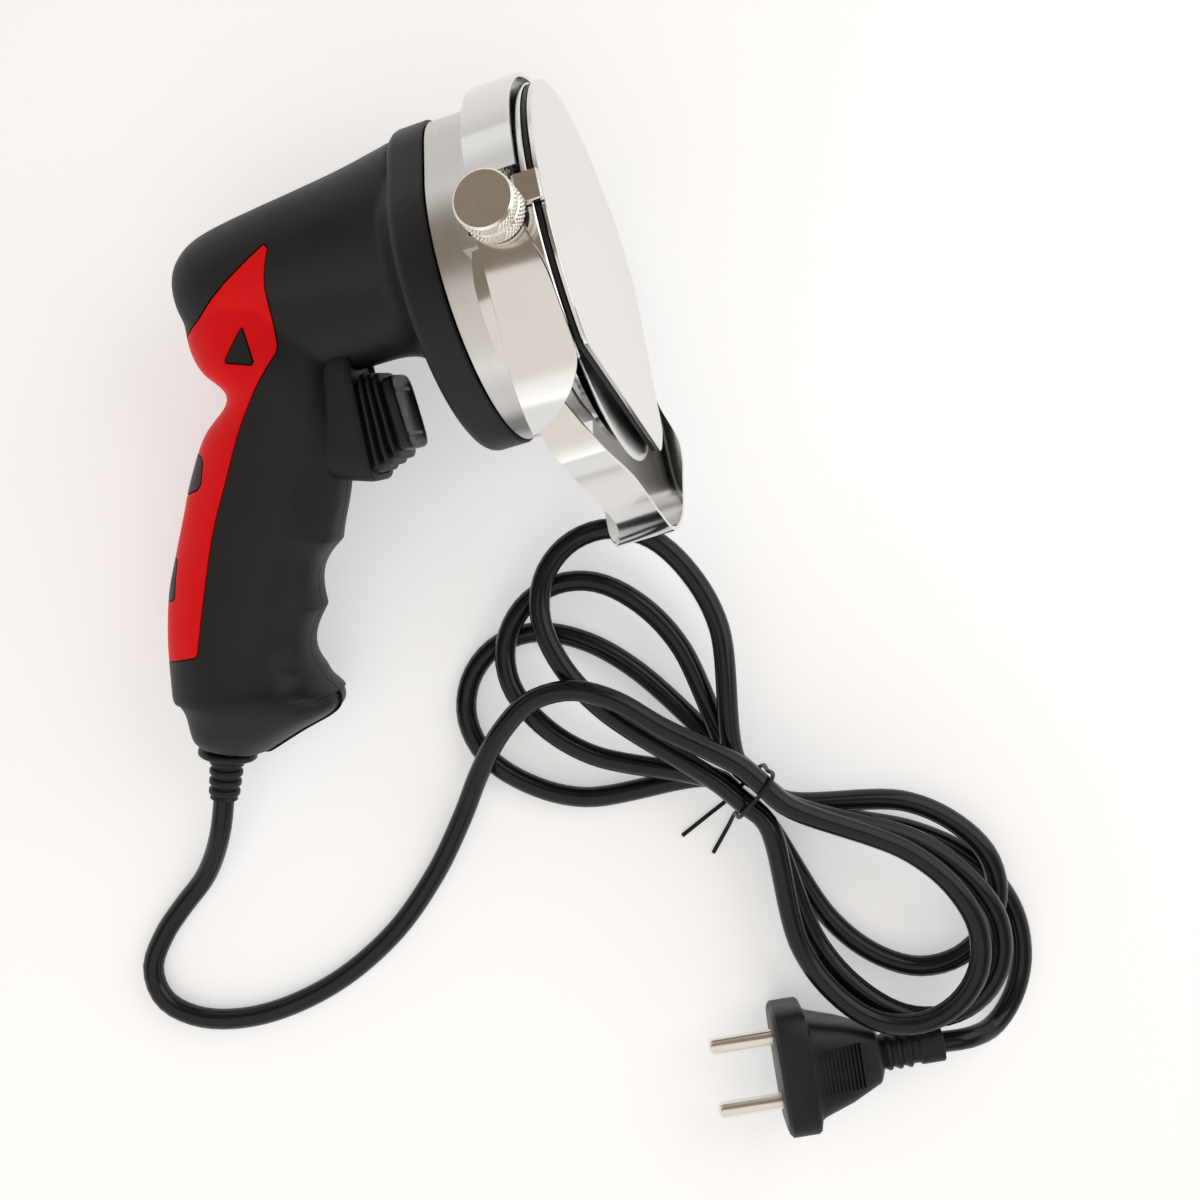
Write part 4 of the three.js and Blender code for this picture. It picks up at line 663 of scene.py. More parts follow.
def round_two(radius_a, z_a, radius_b, z_b, grow, count):
    """The outline round two circles that stand one above the other."""
    outline = []
    for k in range(count):
        a = 2 * math.pi * k / count
        on_a = z_a * math.sin(a) + radius_a > z_b * math.sin(a) + radius_b
        r = (radius_a if on_a else radius_b) + grow
        outline.append((r * math.cos(a), (z_a if on_a else z_b) + r * math.sin(a)))
    return outline


def egg(grow, count=120):
    return round_two(27, 0, 41, -20.5, grow, count)


def gathered(*forms):
    whole = bmesh.new()
    for bm in forms:
        loose = bpy.data.meshes.new("loose")
        bm.to_mesh(loose)
        bm.free()
        whole.from_mesh(loose)
        bpy.data.meshes.remove(loose)
    return whole


NECK_LENGTH = 46
NECK_STEPS = 24
neck_start = round_two(18.2, BARREL_Z, 15.3, -14.2, 0, 96)
neck_end = egg(-3, 96)
neck = []
for k in range(NECK_STEPS + 1):
    u = k / NECK_STEPS
    pull = u**10
    x = -NECK_LENGTH * (1 - u)
    pairs = zip(neck_start, neck_end)
    neck.append([Vector((x, y + (ey - y) * pull, z + (ez - z) * pull)) for (y, z), (ey, ez) in pairs])
handle_bm = gathered(
    skin([grip_ring(row) for row in eased(GRIP, 6)]),
    turned([(r, x) for x, r in eased(BARREL, 4)], (0, 0, BARREL_Z), (1, 0, 0), 80),
    skin(neck),
)
handle_form = finished("handle_form", handle_bm, soft_rubber, Matrix())
fuse = handle_form.modifiers.new("fuse", "REMESH")
fuse.mode = "VOXEL"
fuse.voxel_size = 1.0
fair = handle_form.modifiers.new("fair", "SMOOTH")
fair.factor = 0.5
fair.iterations = 6
plain_mesh(handle_form, Matrix())
skin_bm = bmesh.new()
skin_bm.from_mesh(handle_form.data)
bpy.data.objects.remove(handle_form)

# Three hollows for the fingers run round the front of the grip, with a crisp ridge between each two.
GRIP_SLOPE = math.radians(30)
FINGER_HOLLOWS = [(64, 88), (88, 108), (108, 126)]
HOLLOW_DEPTH = 1.7
HOLLOW_BACK = -20
HOLLOW_FRONT = -12
skin_bm.normal_update()
for v in skin_bm.verts:
    down_grip = -math.sin(GRIP_SLOPE) * v.co.x - math.cos(GRIP_SLOPE) * v.co.z
    to_front = math.cos(GRIP_SLOPE) * v.co.x - math.sin(GRIP_SLOPE) * v.co.z
    for top, end in FINGER_HOLLOWS:
        u = 2 * (down_grip - top) / (end - top) - 1
        if abs(u) < 1:
            v.co -= v.normal * HOLLOW_DEPTH * (1 - u * u) * smooth_rise(to_front, HOLLOW_BACK, HOLLOW_FRONT)
            break

PANEL_TOP = [(-120, -60), (-84, -17), (-64.3, -5.1), (-52.6, 1.3), (-38.6, 7.5)]
PANEL_FRONT = [(-37.7, 6.2), (-41.8, -2.9), (-43.2, -11), (-43.9, -18.2)]
PANEL_LOW = [(-44.6, -20), (-59, -33.3), (-69.6, -48.2), (-78.4, -61.8), (-86.5, -78.2), (-92.6, -91.4)]
PANEL = eased(PANEL_TOP, 2) + eased(PANEL_FRONT, 3) + eased(PANEL_LOW, 3) + [(-93.8, -92.6), (-120, -91)]
WINDOW = [(-51.9, -11), (-52.9, -11.5), (-59, -17.6), (-59.2, -18.6), (-52.1, -21.3), (-51.3, -20.6)]
SPINE_HIGH = [(-100, -36), (-79.4, -38.2), (-76.6, -40.2), (-76.2, -41.6), (-78.2, -47.2), (-80, -48.4)]
SPINE_HIGH.append((-105, -50))
SPINE_LOW = [(-115, -60.4), (-94.4, -64.1), (-93, -65.2), (-96.3, -75.2), (-98, -75.8), (-120, -71)]
FOOT = [(-125, -99.8), (-99.6, -105.9), (-84, -112.2), (-74, -111.8), (-62, -113.8), (-40, -117)]
FOOT += [(-40, -140), (-125, -140)]



def moved_out(outline, distance):
    area = sum(x * b[1] - b[0] * z for (x, z), b in zip(outline, outline[1:] + outline[:1]))
    sign = 1 if area > 0 else -1
    out = []
    for i, (x, z) in enumerate(outline):
        before = (Vector((x, z)) - Vector(outline[i - 1])).normalized()
        after = (Vector(outline[(i + 1) % len(outline)]) - Vector((x, z))).normalized()
        normals = [Vector((d.y, -d.x)) * sign for d in (before, after)]
        half = (normals[0] + normals[1]).normalized()
        reach = distance / max(half.dot(normals[0]), 0.4)
        out.append((x + half.x * reach, z + half.y * reach))
    return out


def within(outline, x, z):
    inside = False
    for (x0, z0), (x1, z1) in zip(outline, outline[1:] + outline[:1]):
        if (z0 > z) != (z1 > z) and x < (x1 - x0) * (z - z0) / (z1 - z0) + x0:
            inside = not inside
    return inside


def score(bm, outline):
    """Cuts the skin along an outline drawn on the side view."""
    for (x0, z0), (x1, z1) in zip(outline, outline[1:] + outline[:1]):
        low_x, high_x = min(x0, x1) - 0.4, max(x0, x1) + 0.4
        low_z, high_z = min(z0, z1) - 0.4, max(z0, z1) + 0.4
        faces = [
            f
            for f in bm.faces
            if any(low_x < v.co.x < high_x and low_z < v.co.z < high_z for v in f.verts)
        ]
        edges = {e for f in faces for e in f.edges}
        verts = {v for f in faces for v in f.verts}
        bmesh.ops.bisect_plane(
            bm,
            geom=[*verts, *edges, *faces],
            dist=1e-4,
            plane_co=(x0, 0, z0),
            plane_no=(z1 - z0, 0, x0 - x1),
        )


SEAM = 0.22
windows_in = [moved_out(o, -SEAM) for o in (WINDOW, SPINE_HIGH, SPINE_LOW)]
windows_out = [moved_out(o, SEAM) for o in (WINDOW, SPINE_HIGH, SPINE_LOW)]
panel_in = moved_out(PANEL, -SEAM)
panel_out = moved_out(PANEL, SEAM)
for outline in (panel_in, panel_out, *windows_in, *windows_out, FOOT):
    score(skin_bm, outline)

shell_plastic, tree, shader, place = handled_coating(
    "shell_plastic", (0.012, 0.012, 0.013), (45.0, 0.42, 0.56), ((0.009, 0.009, 0.010), (0.016, 0.016, 0.018))
)
spark = put(tree, "ShaderNodeTexNoise", {"Vector": place, "Scale": 1500.0, "Detail": 3.0, "Roughness": 0.6})
pits = put(tree, "ShaderNodeTexVoronoi", {"Vector": place, "Scale": 1900.0})
grain = reckoned(tree, "MULTIPLY", spark.outputs[0], pits.outputs["Distance"])
embossed(tree, shader, grain, 0.35, 0.00012)

panel_red, tree, shader, place = handled_coating(
    "panel_red", (0.90, 0.007, 0.010), (60.0, 0.38, 0.5), ((0.86, 0.006, 0.008), (0.95, 0.008, 0.011))
)
shader.inputs["Specular IOR Level"].default_value = 0.12
grained(tree, shader, place, 1400.0, 2.0, 0.1)


def pressed_in(bm, faces, depth):
    """Presses a patch of the skin in by a depth, with walls round it."""
    ring = bmesh.ops.extrude_face_region(bm, geom=faces)
    low = [g for g in ring["geom"] if isinstance(g, bmesh.types.BMVert)]
    bm.normal_update()
    for v in low:
        v.co -= v.normal * depth
    bmesh.ops.delete(bm, geom=faces, context="FACES_ONLY")


def egg_plate(steps):
    return skin([[Vector((x, y, z)) for y, z in egg(grow)] for x, grow in steps])


FLANGE = [(-0.3, -3.2), (0.1, -1.9), (0.6, -1), (1.4, -0.35), (2.6, 0), (10.1, 0), (10.5, -0.4), (10.5, -6)]
HALF_PARTING = 0.15
PANEL_LIMIT_X = -37
PANEL_THICKNESS = 1.3
POCKET_DEPTH = 1.6
FOOT_STEP = 0.7
for side, sign in (("right", -1), ("left", 1)):
    half = gathered(skin_bm.copy(), egg_plate(FLANGE))
    bmesh.ops.bisect_plane(
        half,
        geom=[*half.verts, *half.edges, *half.faces],
        dist=1e-4,
        plane_co=(0, sign * HALF_PARTING, 0),
        plane_no=(0, -sign, 0),
        clear_outer=True,
    )
    rim = [e for e in half.edges if e.is_boundary]
    bmesh.ops.triangle_fill(half, use_beauty=True, use_dissolve=False, edges=rim)
    middle = {f for f in half.faces if all(abs(v.co.y) < 0.2 for v in f.verts)}
    pocket = []
    patch = []
    foot = []
    for f in half.faces:
        if f in middle:
            continue
        x, _, z = f.calc_center_median()
        if x > PANEL_LIMIT_X:
            continue
        if within(panel_out, x, z) and not any(within(o, x, z) for o in windows_in):
            pocket.append(f)
        if within(panel_in, x, z) and not any(within(o, x, z) for o in windows_out):
            patch.append(f)
        if within(FOOT, x, z):
            foot.append(f)
    panel_bm = half.copy()
    half.faces.index_update()
    wanted = {f.index for f in patch}
    panel_bm.faces.ensure_lookup_table()
    bmesh.ops.delete(panel_bm, geom=[f for f in panel_bm.faces if f.index not in wanted], context="FACES")
    panel = finished(side + "_panel", panel_bm, panel_red, Matrix())
    wall = panel.modifiers.new("wall", "SOLIDIFY")
    wall.thickness = PANEL_THICKNESS
    wall.offset = -1
    rounded = panel.modifiers.new("rounded", "BEVEL")
    rounded.width = 0.3
    rounded.segments = 2
    rounded.angle_limit = math.radians(50)
    plain_mesh(panel, LYING, 40)
    stands_for(panel, "housing", "grip_red", side + "_grip_panel")
    pressed_in(half, foot, FOOT_STEP)
    pressed_in(half, pocket, POCKET_DEPTH)
    shell = finished(side + "_moulding", half, shell_plastic, LYING, 40)
    stands_for(shell, "housing", "shell_black", side + "_shell")
skin_bm.free()

# Shell screws
# Four pan-head screws go in from the left side and hold the two halves; their heads sit at the bottom of
# round wells.
bare_steel = handled_coating(
    "bare_steel", (0.56, 0.56, 0.55), (300.0, 0.24, 0.42), ((0.45, 0.45, 0.44), (0.66, 0.66, 0.65)), 1.0
)[0]
SHELL_SCREWS = [(-66.5, 1.8), (-67.5, -60), (-88, -88), (-79, -111)]
WELL_FLOOR = 9
screw_profile = [(0, -17), (1.4, -17), (1.4, 0.3), (2.8, 0.3), (2.8, 1.5), (2.4, 2.1), (1.5, 2.3)]
screw_profile += [(0.5, 2.3), (0.5, 1.4), (0, 1.4)]
screw_bm = turned(screw_profile, (0, 0, 0), (0, 1, 0), 20)
screw_spots = [(x, WELL_FLOOR, z) for x, z in SHELL_SCREWS]
screws = set_at("shell_screws_set", screw_spots, screw_bm, bare_steel, LYING)
stands_for(screws, "housing", "steel_satin", *(f"shell_screw_{i + 1}" for i in range(len(SHELL_SCREWS))))

# Trigger
# A black collar clips into the front of the grip. A rubber boot of three leaves seals the gap behind the
# trigger face, which pushes a plunger and a spring against the switch inside. On the real trigger, boot and
# spring shorten as the face goes in; here each only gets a mesh of its own, and nothing shortens them.


def trigger_ring(x, z, tilt, half_high, half_wide):
    down = Vector((-math.sin(tilt), 0, -math.cos(tilt)))
    return rounded_box_ring(half_high, half_wide, 0.36, 48, lambda c, s: Vector((x, s, z)) + down * c)


COLLAR_TILT = math.radians(26)
COLLAR_FRONT = math.radians(6)
TRIGGER_Z = -44
CAP_HIGH = 10.4
CAP_WIDE = 9
collar_rings = [
    trigger_ring(-40, -36.8, COLLAR_TILT, 17.5, 11.2),
    trigger_ring(-35.4, -39.6, COLLAR_TILT * 0.7, 18.6, 11.2),
    trigger_ring(-31.8, -41.1, COLLAR_FRONT, 18.8, 10.9),
    trigger_ring(-30.5, -41.4, COLLAR_FRONT, 18.7, 10.7),
    trigger_ring(-30, -41.5, COLLAR_FRONT, 18.2, 10.2),
    trigger_ring(-30, -41.5, COLLAR_FRONT, 17.0, 9.3),
    trigger_ring(-31, -41.4, COLLAR_FRONT, 16.8, 9.1),
]
collar = finished("trigger_collar", skin(collar_rings), shell_plastic, LYING, 40)
stands_for(collar, "housing", "shell_black", "trigger_frame")
BOOT_LEAVES = 3
LEAF = ((-1.15, -1.2), (-0.85, 0.4), (-0.25, 1.3), (0.45, 1.3), (0.8, 0.9), (1.0, -1.2))
boot_rings = [trigger_ring(-30.8, TRIGGER_Z - 0.6, COLLAR_FRONT, 12.2, 8.0)]
for k in range(BOOT_LEAVES):
    u = (k + 0.35) / BOOT_LEAVES
    x = -29.6 + 7.2 * u
    z = TRIGGER_Z - 0.6 * (1 - u)
    tilt = COLLAR_FRONT * (1 - u)
    high = CAP_HIGH + 2.2 - 2.3 * u
    wide = 8.4 - 0.4 * u
    boot_rings += [trigger_ring(x + dx, z, tilt, high + grow, wide + grow) for dx, grow in LEAF]
boot_rings.append(trigger_ring(-22.2, TRIGGER_Z, 0, 9.4, 7.0))
boot = finished("trigger_bellows", skin(boot_rings), soft_rubber, LYING, 45)
stands_for(boot, "housing", "rubber_black", "trigger_boot")
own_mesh(boot)
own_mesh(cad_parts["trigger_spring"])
cap_steps = ((-22, -0.6), (-21.7, -0.1), (-19.7, 0), (-19.2, -0.3), (-19, -0.8), (-19.2, -1.6))
cap_steps += ((-19.6, -2.2),)
cap_rings = [trigger_ring(x, TRIGGER_Z, 0, CAP_HIGH + grow, CAP_WIDE + grow) for x, grow in cap_steps]
trigger_gloss = handled_coating(
    "trigger_gloss",
    (0.009, 0.009, 0.010),
    (140.0, 0.24, 0.42),
    ((0.007, 0.007, 0.008), (0.014, 0.014, 0.015)),
)[0]
trigger_face = finished("trigger_face", skin(cap_rings), trigger_gloss, LYING, 35)
stands_for(trigger_face, "trigger", "shell_black", "trigger_cap")
SLIT_DISTANCE = 6.2
slit_rings = [
    [Vector((x, y, z)) for y, z in ((-6, -0.5), (6, -0.5), (6.3, 0), (6, 0.5), (-6, 0.5), (-6.3, 0))]
    for x in (-20.1, -19.3)
]
slit_spots = [(0, 0, TRIGGER_Z - SLIT_DISTANCE), (0, 0, TRIGGER_Z + SLIT_DISTANCE)]
slits = set_at("trigger_slits", slit_spots, skin(slit_rings), trigger_gloss, LYING)
stands_for(slits, "trigger", "shell_black")
switch_gloss = handled_coating("switch_gloss", (0.03, 0.03, 0.032), (150.0, 0.25, 0.4))[0]

# Motor
# A small commutator motor lies in the barrel: drawn steel can, end bell with two brushes, laminated
# armature, copper commutator and two ball bearings. A rectifier board is behind it, a steel plate in front.
can_paint = handled_coating(
    "can_paint", (0.16, 0.16, 0.165), (120.0, 0.3, 0.5), ((0.12, 0.12, 0.125), (0.22, 0.22, 0.225)), 0.6
)[0]
copper = handled_coating(
    "copper", (0.64, 0.33, 0.19), (400.0, 0.25, 0.45), ((0.50, 0.24, 0.13), (0.72, 0.40, 0.24)), 1.0
)[0]
brush_brass = handled_coating("brush_brass", (0.72, 0.52, 0.22), (300.0, 0.25, 0.4), None, 1.0)[0]
board_green = handled_coating(
    "board_green", (0.05, 0.22, 0.09), (200.0, 0.22, 0.4), ((0.03, 0.16, 0.06), (0.07, 0.28, 0.12))
)[0]

# Belt drive and spindle
# The motor pulley drives the larger blade pulley through a toothed rubber belt. The spindle runs in two
# bearings.
pulley_metal = handled_coating(
    "pulley_metal", (0.62, 0.62, 0.61), (220.0, 0.3, 0.46), ((0.52, 0.52, 0.51), (0.70, 0.70, 0.69)), 1.0
)[0]

hidden_coats = {
    bare_steel: (
        *("trigger_spring", "motor_shaft", "motor_front_bearing", "motor_rear_bearing", "motor_mount_plate"),
        *("blade_spindle", "spindle_rear_bearing", "spindle_front_bearing", "blade_nut"),
        *("clamp_screw", "clamp_nut"),
        *("housing_screw_1", "housing_screw_2", "housing_screw_3", "housing_screw_4"),
    ),
    can_paint: ("motor_can", "motor_armature"),
    copper: ("commutator",),
    brush_brass: ("brush_1", "brush_2"),
    board_green: ("rectifier_board",),
    switch_gloss: ("switch_body", "trigger_plunger", "motor_end_bell"),
    pulley_metal: ("motor_pulley", "blade_pulley"),
    soft_rubber: ("timing_belt",),
}
for coat, names in hidden_coats.items():
    for name in names:
        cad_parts[name].data.materials.clear()
        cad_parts[name].data.materials.append(coat)

# Head housing
# A turned and brushed aluminium ring, egg-shaped round the two pulleys, closed by the bearing plate. The
# brush lines run round it.
lines, given, taken = effect(
    "drawn_lines",
    [("Place", VECTOR, None), ("Across", FLOAT, 60.0), ("Along", FLOAT, 0.6)],
    [("Height", FLOAT), ("Shade", FLOAT)],
)
split = put(lines, "ShaderNodeSeparateXYZ", {0: given.outputs["Place"]})
fast = reckoned(lines, "MULTIPLY", split.outputs[0], given.outputs["Across"])
slow_y = reckoned(lines, "MULTIPLY", split.outputs[1], given.outputs["Along"])
slow_z = reckoned(lines, "MULTIPLY", split.outputs[2], given.outputs["Along"])
stretched = put(lines, "ShaderNodeCombineXYZ", {0: fast, 1: slow_y, 2: slow_z})
streaks = put(
    lines,
    "ShaderNodeTexNoise",
    {"Vector": stretched.outputs[0], "Scale": 1.0, "Detail": 4.0, "Roughness": 0.7},
)
lines.links.new(streaks.outputs[0], taken.inputs["Height"])
lines.links.new(streaks.outputs[0], taken.inputs["Shade"])
LYING_TURN = Matrix.Rotation(-LYING_PITCH, 4, "Y") @ Matrix.Rotation(LYING_ROLL - math.pi / 2, 4, "X")



def tool_place(tree):
    """Millimetres along, across and up the tool, as it is held."""
    place = put(tree, "ShaderNodeTexCoord").outputs["Object"]
    upright = put(tree, "ShaderNodeMapping", {"Vector": place}, vector_type="TEXTURE")
    upright.inputs["Location"].default_value = LYING.translation
    upright.inputs["Rotation"].default_value = LYING_TURN.to_euler()
    upright.inputs["Scale"].default_value = (0.001, 0.001, 0.001)
    return upright.outputs[0]


def drawn_metal(name, dark, light, bright, dull, across, along, depth):
    material, tree, shader = coating(name, light, 1.0)
    marked(tree, shader, 70.0, bright, dull)
    values = {"Place": tool_place(tree), "Across": across, "Along": along}
    streak = put(tree, "ShaderNodeGroup", values, node_tree=lines)
    tinted(tree, shader, streak.outputs["Shade"], dark, light)
    embossed(tree, shader, streak.outputs["Height"], 0.3, depth)
    return material


ring_brushed = drawn_metal(
    "ring_brushed", (0.50, 0.49, 0.47), (0.74, 0.73, 0.71), 0.26, 0.36, 9.0, 0.02, 0.00004
)
ring_steps = [(10.8, -6), (10.8, -1.1), (11.1, -0.8), (30.7, -0.8), (31, -1.1), (31, -3), (13.3, -3.2)]
housing_bm = egg_plate(ring_steps)
housing = finished("head_ring", housing_bm, ring_brushed, LYING, 40)
stands_for(housing, "housing", "aluminium_cast", "head_housing")
bearing_bm = egg_plate([(31.3, -12), (31.3, -1.1), (31.6, -0.8), (33.6, -0.8), (34, -1.2), (34, -12)])
bearing = finished("bearing_cover", bearing_bm, ring_brushed, LYING, 40)
stands_for(bearing, "housing", "aluminium_cast", "bearing_plate")

# Blade and its shroud
# The blade is a dished disc of hardened steel with a ground edge, held on the spindle by a nut. A polished
# shroud stands behind it, with a rim over its upper part.
SPINDLE = Vector((0, 0, -24.8))
polished = handled_coating(
    "polished_sheet", (0.73, 0.72, 0.705), (70.0, 0.09, 0.14), ((0.71, 0.70, 0.685), (0.75, 0.74, 0.725)), 1.0
)[0]
ground = drawn_metal("ground_blade", (0.55, 0.55, 0.54), (0.76, 0.76, 0.75), 0.14, 0.24, 4.0, 4.0, 0.00001)
blade_profile = [(4.1, 36.2), (20, 36.2), (47, 37.9), (49.97, 38.93), (50, 38.97), (49.97, 39.02)]
blade_profile += [(49.6, 39.1), (47, 38.99), (20, 37.4), (4.1, 37.4), (4.1, 36.2)]
blade = finished("round_blade", turned(blade_profile, SPINDLE, (1, 0, 0), 144), ground, LYING, 20)
stands_for(blade, "blade_rotor", "steel_mirror", "blade")
shroud_disc = turned([(11, 34.3), (43, 34.3), (43, 35.4), (11, 35.4), (11, 34.3)], SPINDLE, (1, 0, 0), 96)
rim_section = [(42, 34.3), (51.2, 34.3), (51.5, 34.6), (51.5, 39.3), (51.2, 39.6), (50.6, 39.6)]
rim_section += [(50.6, 35.4), (42, 35.4)]
RIM_REACH = 115
RIM_STEPS = 80
rim_rings = []
for k in range(RIM_STEPS + 1):
    a = math.radians(-RIM_REACH + 2 * RIM_REACH * k / RIM_STEPS)
    rim_rings.append([Vector((x, r * math.sin(a), SPINDLE.z + r * math.cos(a))) for r, x in rim_section])
shroud = finished("shroud_dish", gathered(shroud_disc, skin(rim_rings)), polished, LYING, 35)
stands_for(shroud, "housing", "aluminium_cast", "blade_shroud")

# Cover, seal and clips
# The cover is a flat mirror-polished disc with two flats; the near one bares the blade's edge. A black seal
# lies under it, and two bent spring clips hold it to the shroud.
COVER_RADIUS = 51.5
COVER_FLATS = ((math.radians(-26), 38), (math.radians(60), 45.5))


def flatted_plate(steps, count=180):
    """A plate with the cover's outline, from rows of place along the axis and inset."""
    rings = []
    for x, inset in steps:
        ring = []
        for k in range(count):
            a = 2 * math.pi * k / count
            reach = COVER_RADIUS - inset
            for angle, distance in COVER_FLATS:
                facing = math.cos(a) * math.sin(angle) - math.sin(a) * math.cos(angle)
                if facing > 0:
                    reach = min(reach, (distance - inset) / facing)
            ring.append(Vector((x, reach * math.cos(a), SPINDLE.z + reach * math.sin(a))))
        rings.append(ring)
    return skin(rings)


seal_bm = flatted_plate([(39.9, 0.5), (40.1, 0.4), (40.8, 0.4), (41.0, 0.5)])
seal = finished("cover_seal", seal_bm, soft_rubber, LYING, 35)
stands_for(seal, "housing", "rubber_black", "cover_gasket")
cover_bm = flatted_plate([(41.3, 0.35), (41.45, 0.08), (41.6, 0), (42.3, 0), (42.45, 0.08), (42.6, 0.35)])
cover = finished("cover_disc", cover_bm, polished, LYING, 20)
stands_for(cover, "housing", "steel_mirror", "front_cover")
CLIP_ANGLE = math.radians(21)
for name, side in (("cover_clip_right", -1), ("cover_clip_left", 1)):
    out = Vector((0, side * math.cos(CLIP_ANGLE), math.sin(CLIP_ANGLE)))
    along = Vector((0, -side * math.sin(CLIP_ANGLE), math.cos(CLIP_ANGLE)))
    rings = []
    for t in (-4, -3.7, 0, 3.7, 4):
        drop = 0.3 if abs(t) > 3.9 else 0
        section = ((36 + drop, 51.9), (36 + drop, 53.0), (36.5, 53.4 - drop), (42.1, 53.4 - drop))
        section = (*section, (42.5 - drop, 53.0), (42.5 - drop, 51.9))
        rings.append([SPINDLE + out * r + along * t + Vector((x, 0, 0)) for x, r in section])
    clip = finished(name + "_bent", skin(rings), polished, LYING, 30)
    stands_for(clip, "housing", "steel_satin", name)

# Clamp rail
# A small slotted block on the flank of the head; the guide's nut slides in it and sets the thickness of
# the slice.
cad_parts["clamp_rail"].data.materials.clear()
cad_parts["clamp_rail"].data.materials.append(pulley_metal)

# Slice guide
# A band of polished sheet goes over the head and down the far side, where the tool rests on it, and ends in
# a scoop under the blade. A leaf-shaped petal with a bent rear lip is clamped over its near end.
GUIDE_SHEET = 1.2
GUIDE_EDGE = 0.15


def strip(stations, steps=6):
    """A sheet strip round the spindle, its rear and front edges at their own places along the axis."""
    rows = eased(stations, steps)
    rings = []
    for i, (y, z, rear, front) in enumerate(rows):
        before, after = rows[max(i - 1, 0)], rows[min(i + 1, len(rows) - 1)]
        along = Vector((0, after[0] - before[0], after[1] - before[1])).normalized()
        out = Vector((0, -along.z, along.y)) * GUIDE_SHEET / 2
        middle = Vector((0, y, z))
        section = ((rear + GUIDE_EDGE, 1), (front - GUIDE_EDGE, 1), (front, 0.4), (front, -0.4))
        section += ((front - GUIDE_EDGE, -1), (rear + GUIDE_EDGE, -1), (rear, -0.4), (rear, 0.4))
        rings.append([middle + out * lift + Vector((x, 0, 0)) for x, lift in section])
    return skin(rings)


def round_spindle(radius, degrees, rear, front):
    a = math.radians(degrees)
    return (radius * math.sin(a), SPINDLE.z + radius * math.cos(a), rear, front)


BAND_RADIUS = 54.1


def flat_side(z, front):
    return (BAND_RADIUS + math.tan(LYING_ROLL) * (z - SPINDLE.z), z, 23.5, front)


band_stations = [round_spindle(BAND_RADIUS, d, 25.5, 38) for d in (-63, -50, -35, -18, 0, 18, 34)]
band_stations += [(42, 21.5, 25.5, 37.5), (53, 18.5, 23.5, 37)]
for z, front in ((11, 37), (3, 37.4), (-12, 37.8), (-26, 38.2), (-42, 38.8)):
    band_stations.append(flat_side(z, front))
band_stations += [
    (46.5, -60, 20, 40.5),
    (37.5, -74, 19, 44.877),
    (26.6, -85.6, 20, 44),
    (13, -93, 22, 43.5),
    (0, -94.7, 26, 42.5),
    (-13, -88.5, 30, 42),
    (-25.5, -78, 27.6, 40.5),
    (-33, -69.5, 25, 37),
    (-37.2, -60.5, 22.8, 33.5),
    (-40, -53.5, 22, 31),
]
band = finished("guide_strap", strip(band_stations), polished, LYING, 35)
stands_for(band, "guide", "steel_mirror", "guide_band")
PETAL_RADIUS = 52.6
PETAL = [
    (-60, 25.2, 34.8),
    (-72, 25, 35),
    (-80, 24.8, 36.8),
    (-90, 24.6, 39),
    (-100, 24, 39.6),
    (-112, 22.6, 39.6),
    (-120, 22, 36.6),
    (-127, 21.6, 30.6),
    (-132.5, 21.4, 23.2),
]
petal_bm = strip([round_spindle(PETAL_RADIUS, *row) for row in PETAL])
petal = finished("guide_leaf", petal_bm, polished, LYING, 35)
stands_for(petal, "guide", "steel_mirror", "guide_petal")
LIP = [(-80.6, 24.8, 2), (-88, 24.7, 3.4), (-96, 24.2, 3.2), (-104, 23.5, 2.4), (-112, 22.6, 0.8)]
LIP_OUTER = 52.5
LIP_INNER = 51.9
lip_rings = []
for degrees, rear, wide in eased(LIP, 4):
    root = rear + 0.8
    tip = rear - wide
    bend = 0.2 * wide
    section = ((root, LIP_OUTER), (tip, LIP_OUTER - bend), (tip, LIP_INNER - bend), (root, LIP_INNER))
    ring = [round_spindle(r, degrees, x, x) for x, r in section]
    lip_rings.append([Vector((x, y, z)) for y, z, x, _ in ring])
lip = finished("leaf_lip", skin(lip_rings), polished, LYING, 30)
stands_for(lip, "guide", "steel_mirror")

# Clamp knob
# A turned brass knob, nickel-plated, with two bands of diamond knurling. It screws down on the guide.
CLAMP_ANGLE = math.radians(16)
CLAMP_OUT = Vector((0, -math.cos(CLAMP_ANGLE), math.sin(CLAMP_ANGLE)))
CLAMP_BASE = Vector((31, 0, -24.8))
knob_profile = [(0, 53.8), (6.7, 53.8), (7.1, 54.2), (7.1, 58.1), (6.6, 58.5), (6.6, 59.1), (7.1, 59.5)]
knob_profile += [(7.1, 62.6), (7.3, 62.8), (7.3, 63.2), (6.8, 63.75), (6.2, 63.8), (5.9, 63.8), (0, 63.8)]
knob_body = finished("knob_body", turned(knob_profile, CLAMP_BASE, CLAMP_OUT, 72), nickel, LYING, 30)
stands_for(knob_body, "knob", "nickel", "clamp_knob")
knurl_tree = bpy.data.node_groups.new("knurl", "GeometryNodeTree")
knurl_sizes = {}
for label, kind, value in (
    ("Radius", "NodeSocketFloat", 7.0),
    ("Teeth", "NodeSocketInt", 44),
    ("Rows", "NodeSocketInt", 4),
    ("Pitch", "NodeSocketFloat", 0.95),
    ("Tooth", "NodeSocketFloat", 0.62),
    ("Coat", "NodeSocketMaterial", None),
):
    knurl_sizes[label] = knurl_tree.interface.new_socket(label, in_out="INPUT", socket_type=kind)
    if value is not None:
        knurl_sizes[label].default_value = value
knurl_tree.interface.new_socket("Geometry", in_out="OUTPUT", socket_type="NodeSocketGeometry")
given = put(knurl_tree, "NodeGroupInput")
circle = put(
    knurl_tree,
    "GeometryNodeMeshCircle",
    {"Vertices": given.outputs["Teeth"], "Radius": given.outputs["Radius"]},
)
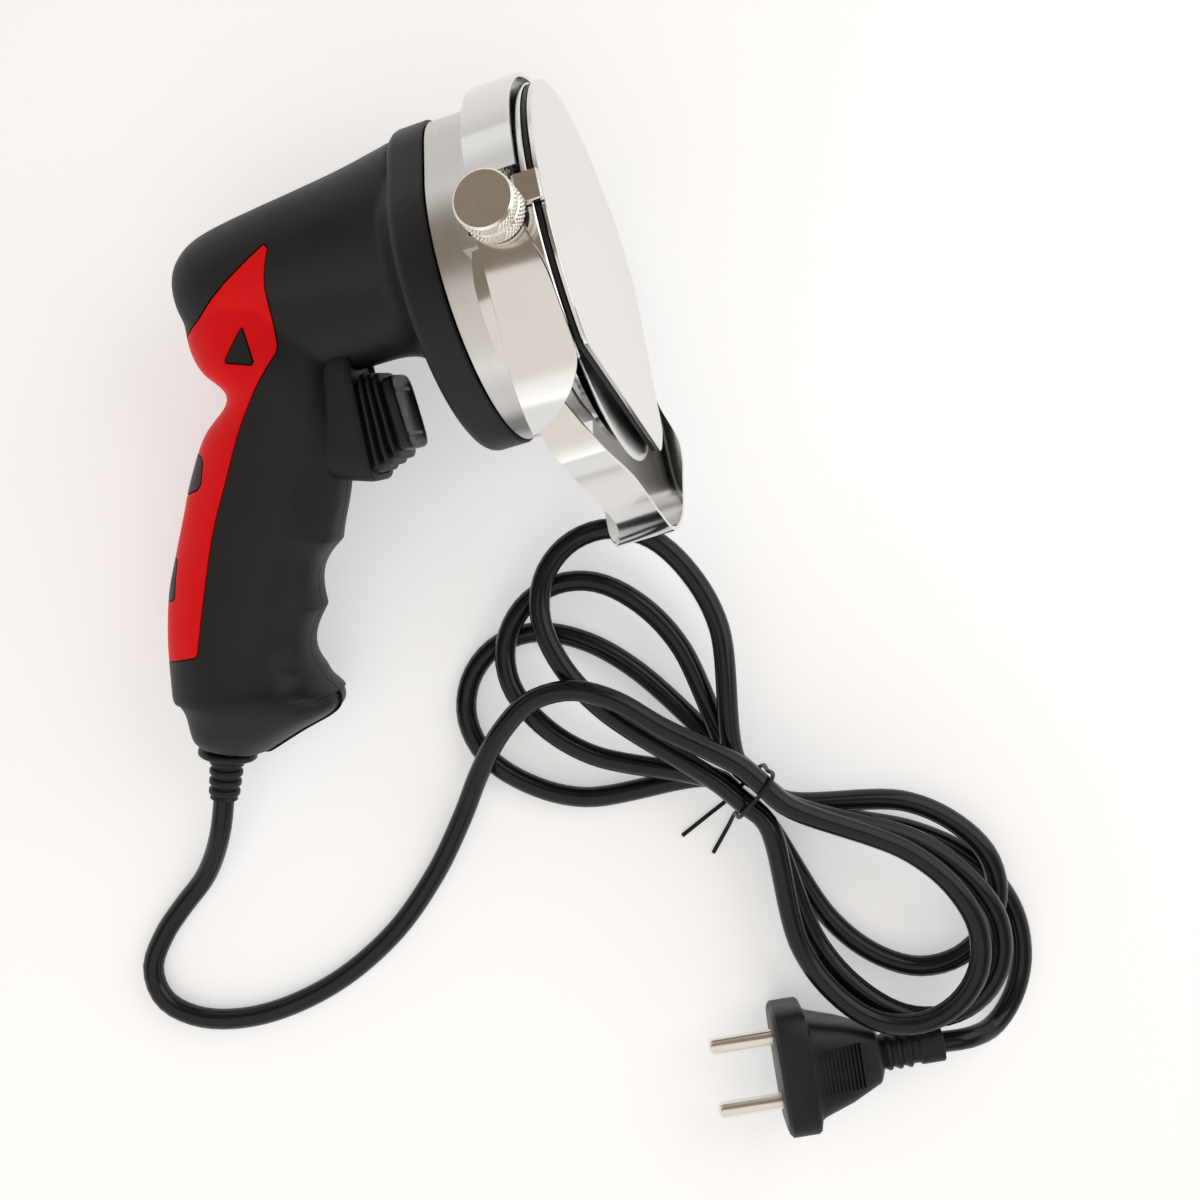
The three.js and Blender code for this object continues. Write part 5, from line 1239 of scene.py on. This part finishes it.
tooth = put(
    knurl_tree,
    "GeometryNodeMeshCone",
    {"Vertices": 4, "Radius Bottom": given.outputs["Tooth"], "Radius Top": 0.08, "Depth": 0.42},
)
outwards = put(
    knurl_tree,
    "FunctionNodeAlignRotationToVector",
    {"Vector": put(knurl_tree, "GeometryNodeInputPosition").outputs[0]},
    axis="Z",
    pivot_axis="X",
)
ring_of_teeth = put(
    knurl_tree,
    "GeometryNodeInstanceOnPoints",
    {"Points": circle.outputs[0], "Instance": tooth.outputs[0], "Rotation": outwards.outputs[0]},
)
step_up = put(knurl_tree, "ShaderNodeCombineXYZ", {"Z": given.outputs["Pitch"]})
row_line = put(
    knurl_tree,
    "GeometryNodeMeshLine",
    {"Count": given.outputs["Rows"], "Offset": step_up.outputs[0]},
)
half_tooth = reckoned(knurl_tree, "DIVIDE", math.pi, given.outputs["Teeth"])
row_number = put(knurl_tree, "GeometryNodeInputIndex").outputs[0]
row_turn = reckoned(knurl_tree, "MULTIPLY", row_number, half_tooth)
turn_vector = put(knurl_tree, "ShaderNodeCombineXYZ", {"Z": row_turn})
stacked = put(
    knurl_tree,
    "GeometryNodeInstanceOnPoints",
    {
        "Points": row_line.outputs[0],
        "Instance": ring_of_teeth.outputs[0],
        "Rotation": turn_vector.outputs[0],
    },
)
knurled = put(knurl_tree, "GeometryNodeRealizeInstances", {"Geometry": stacked.outputs[0]})
coated = put(
    knurl_tree,
    "GeometryNodeSetMaterial",
    {"Geometry": knurled.outputs[0], "Material": given.outputs["Coat"]},
)
put(knurl_tree, "NodeGroupOutput", {"Geometry": coated.outputs[0]})
for name, low in (("knurl_low", 54.75), ("knurl_high", 59.85)):
    knurl = bpy.data.objects.new(name, bpy.data.meshes.new(name))
    bpy.context.collection.objects.link(knurl)
    cutter = knurl.modifiers.new("knurl", "NODES")
    cutter.node_group = knurl_tree
    cutter[knurl_sizes["Coat"].identifier] = nickel
    upright = CLAMP_OUT.to_track_quat("Z", "X").to_matrix().to_4x4()
    on_axis = Matrix.Translation(CLAMP_BASE + CLAMP_OUT * low) @ upright
    plain_mesh(knurl, LYING @ on_axis, 20)
    stands_for(knurl, "knob", "nickel")
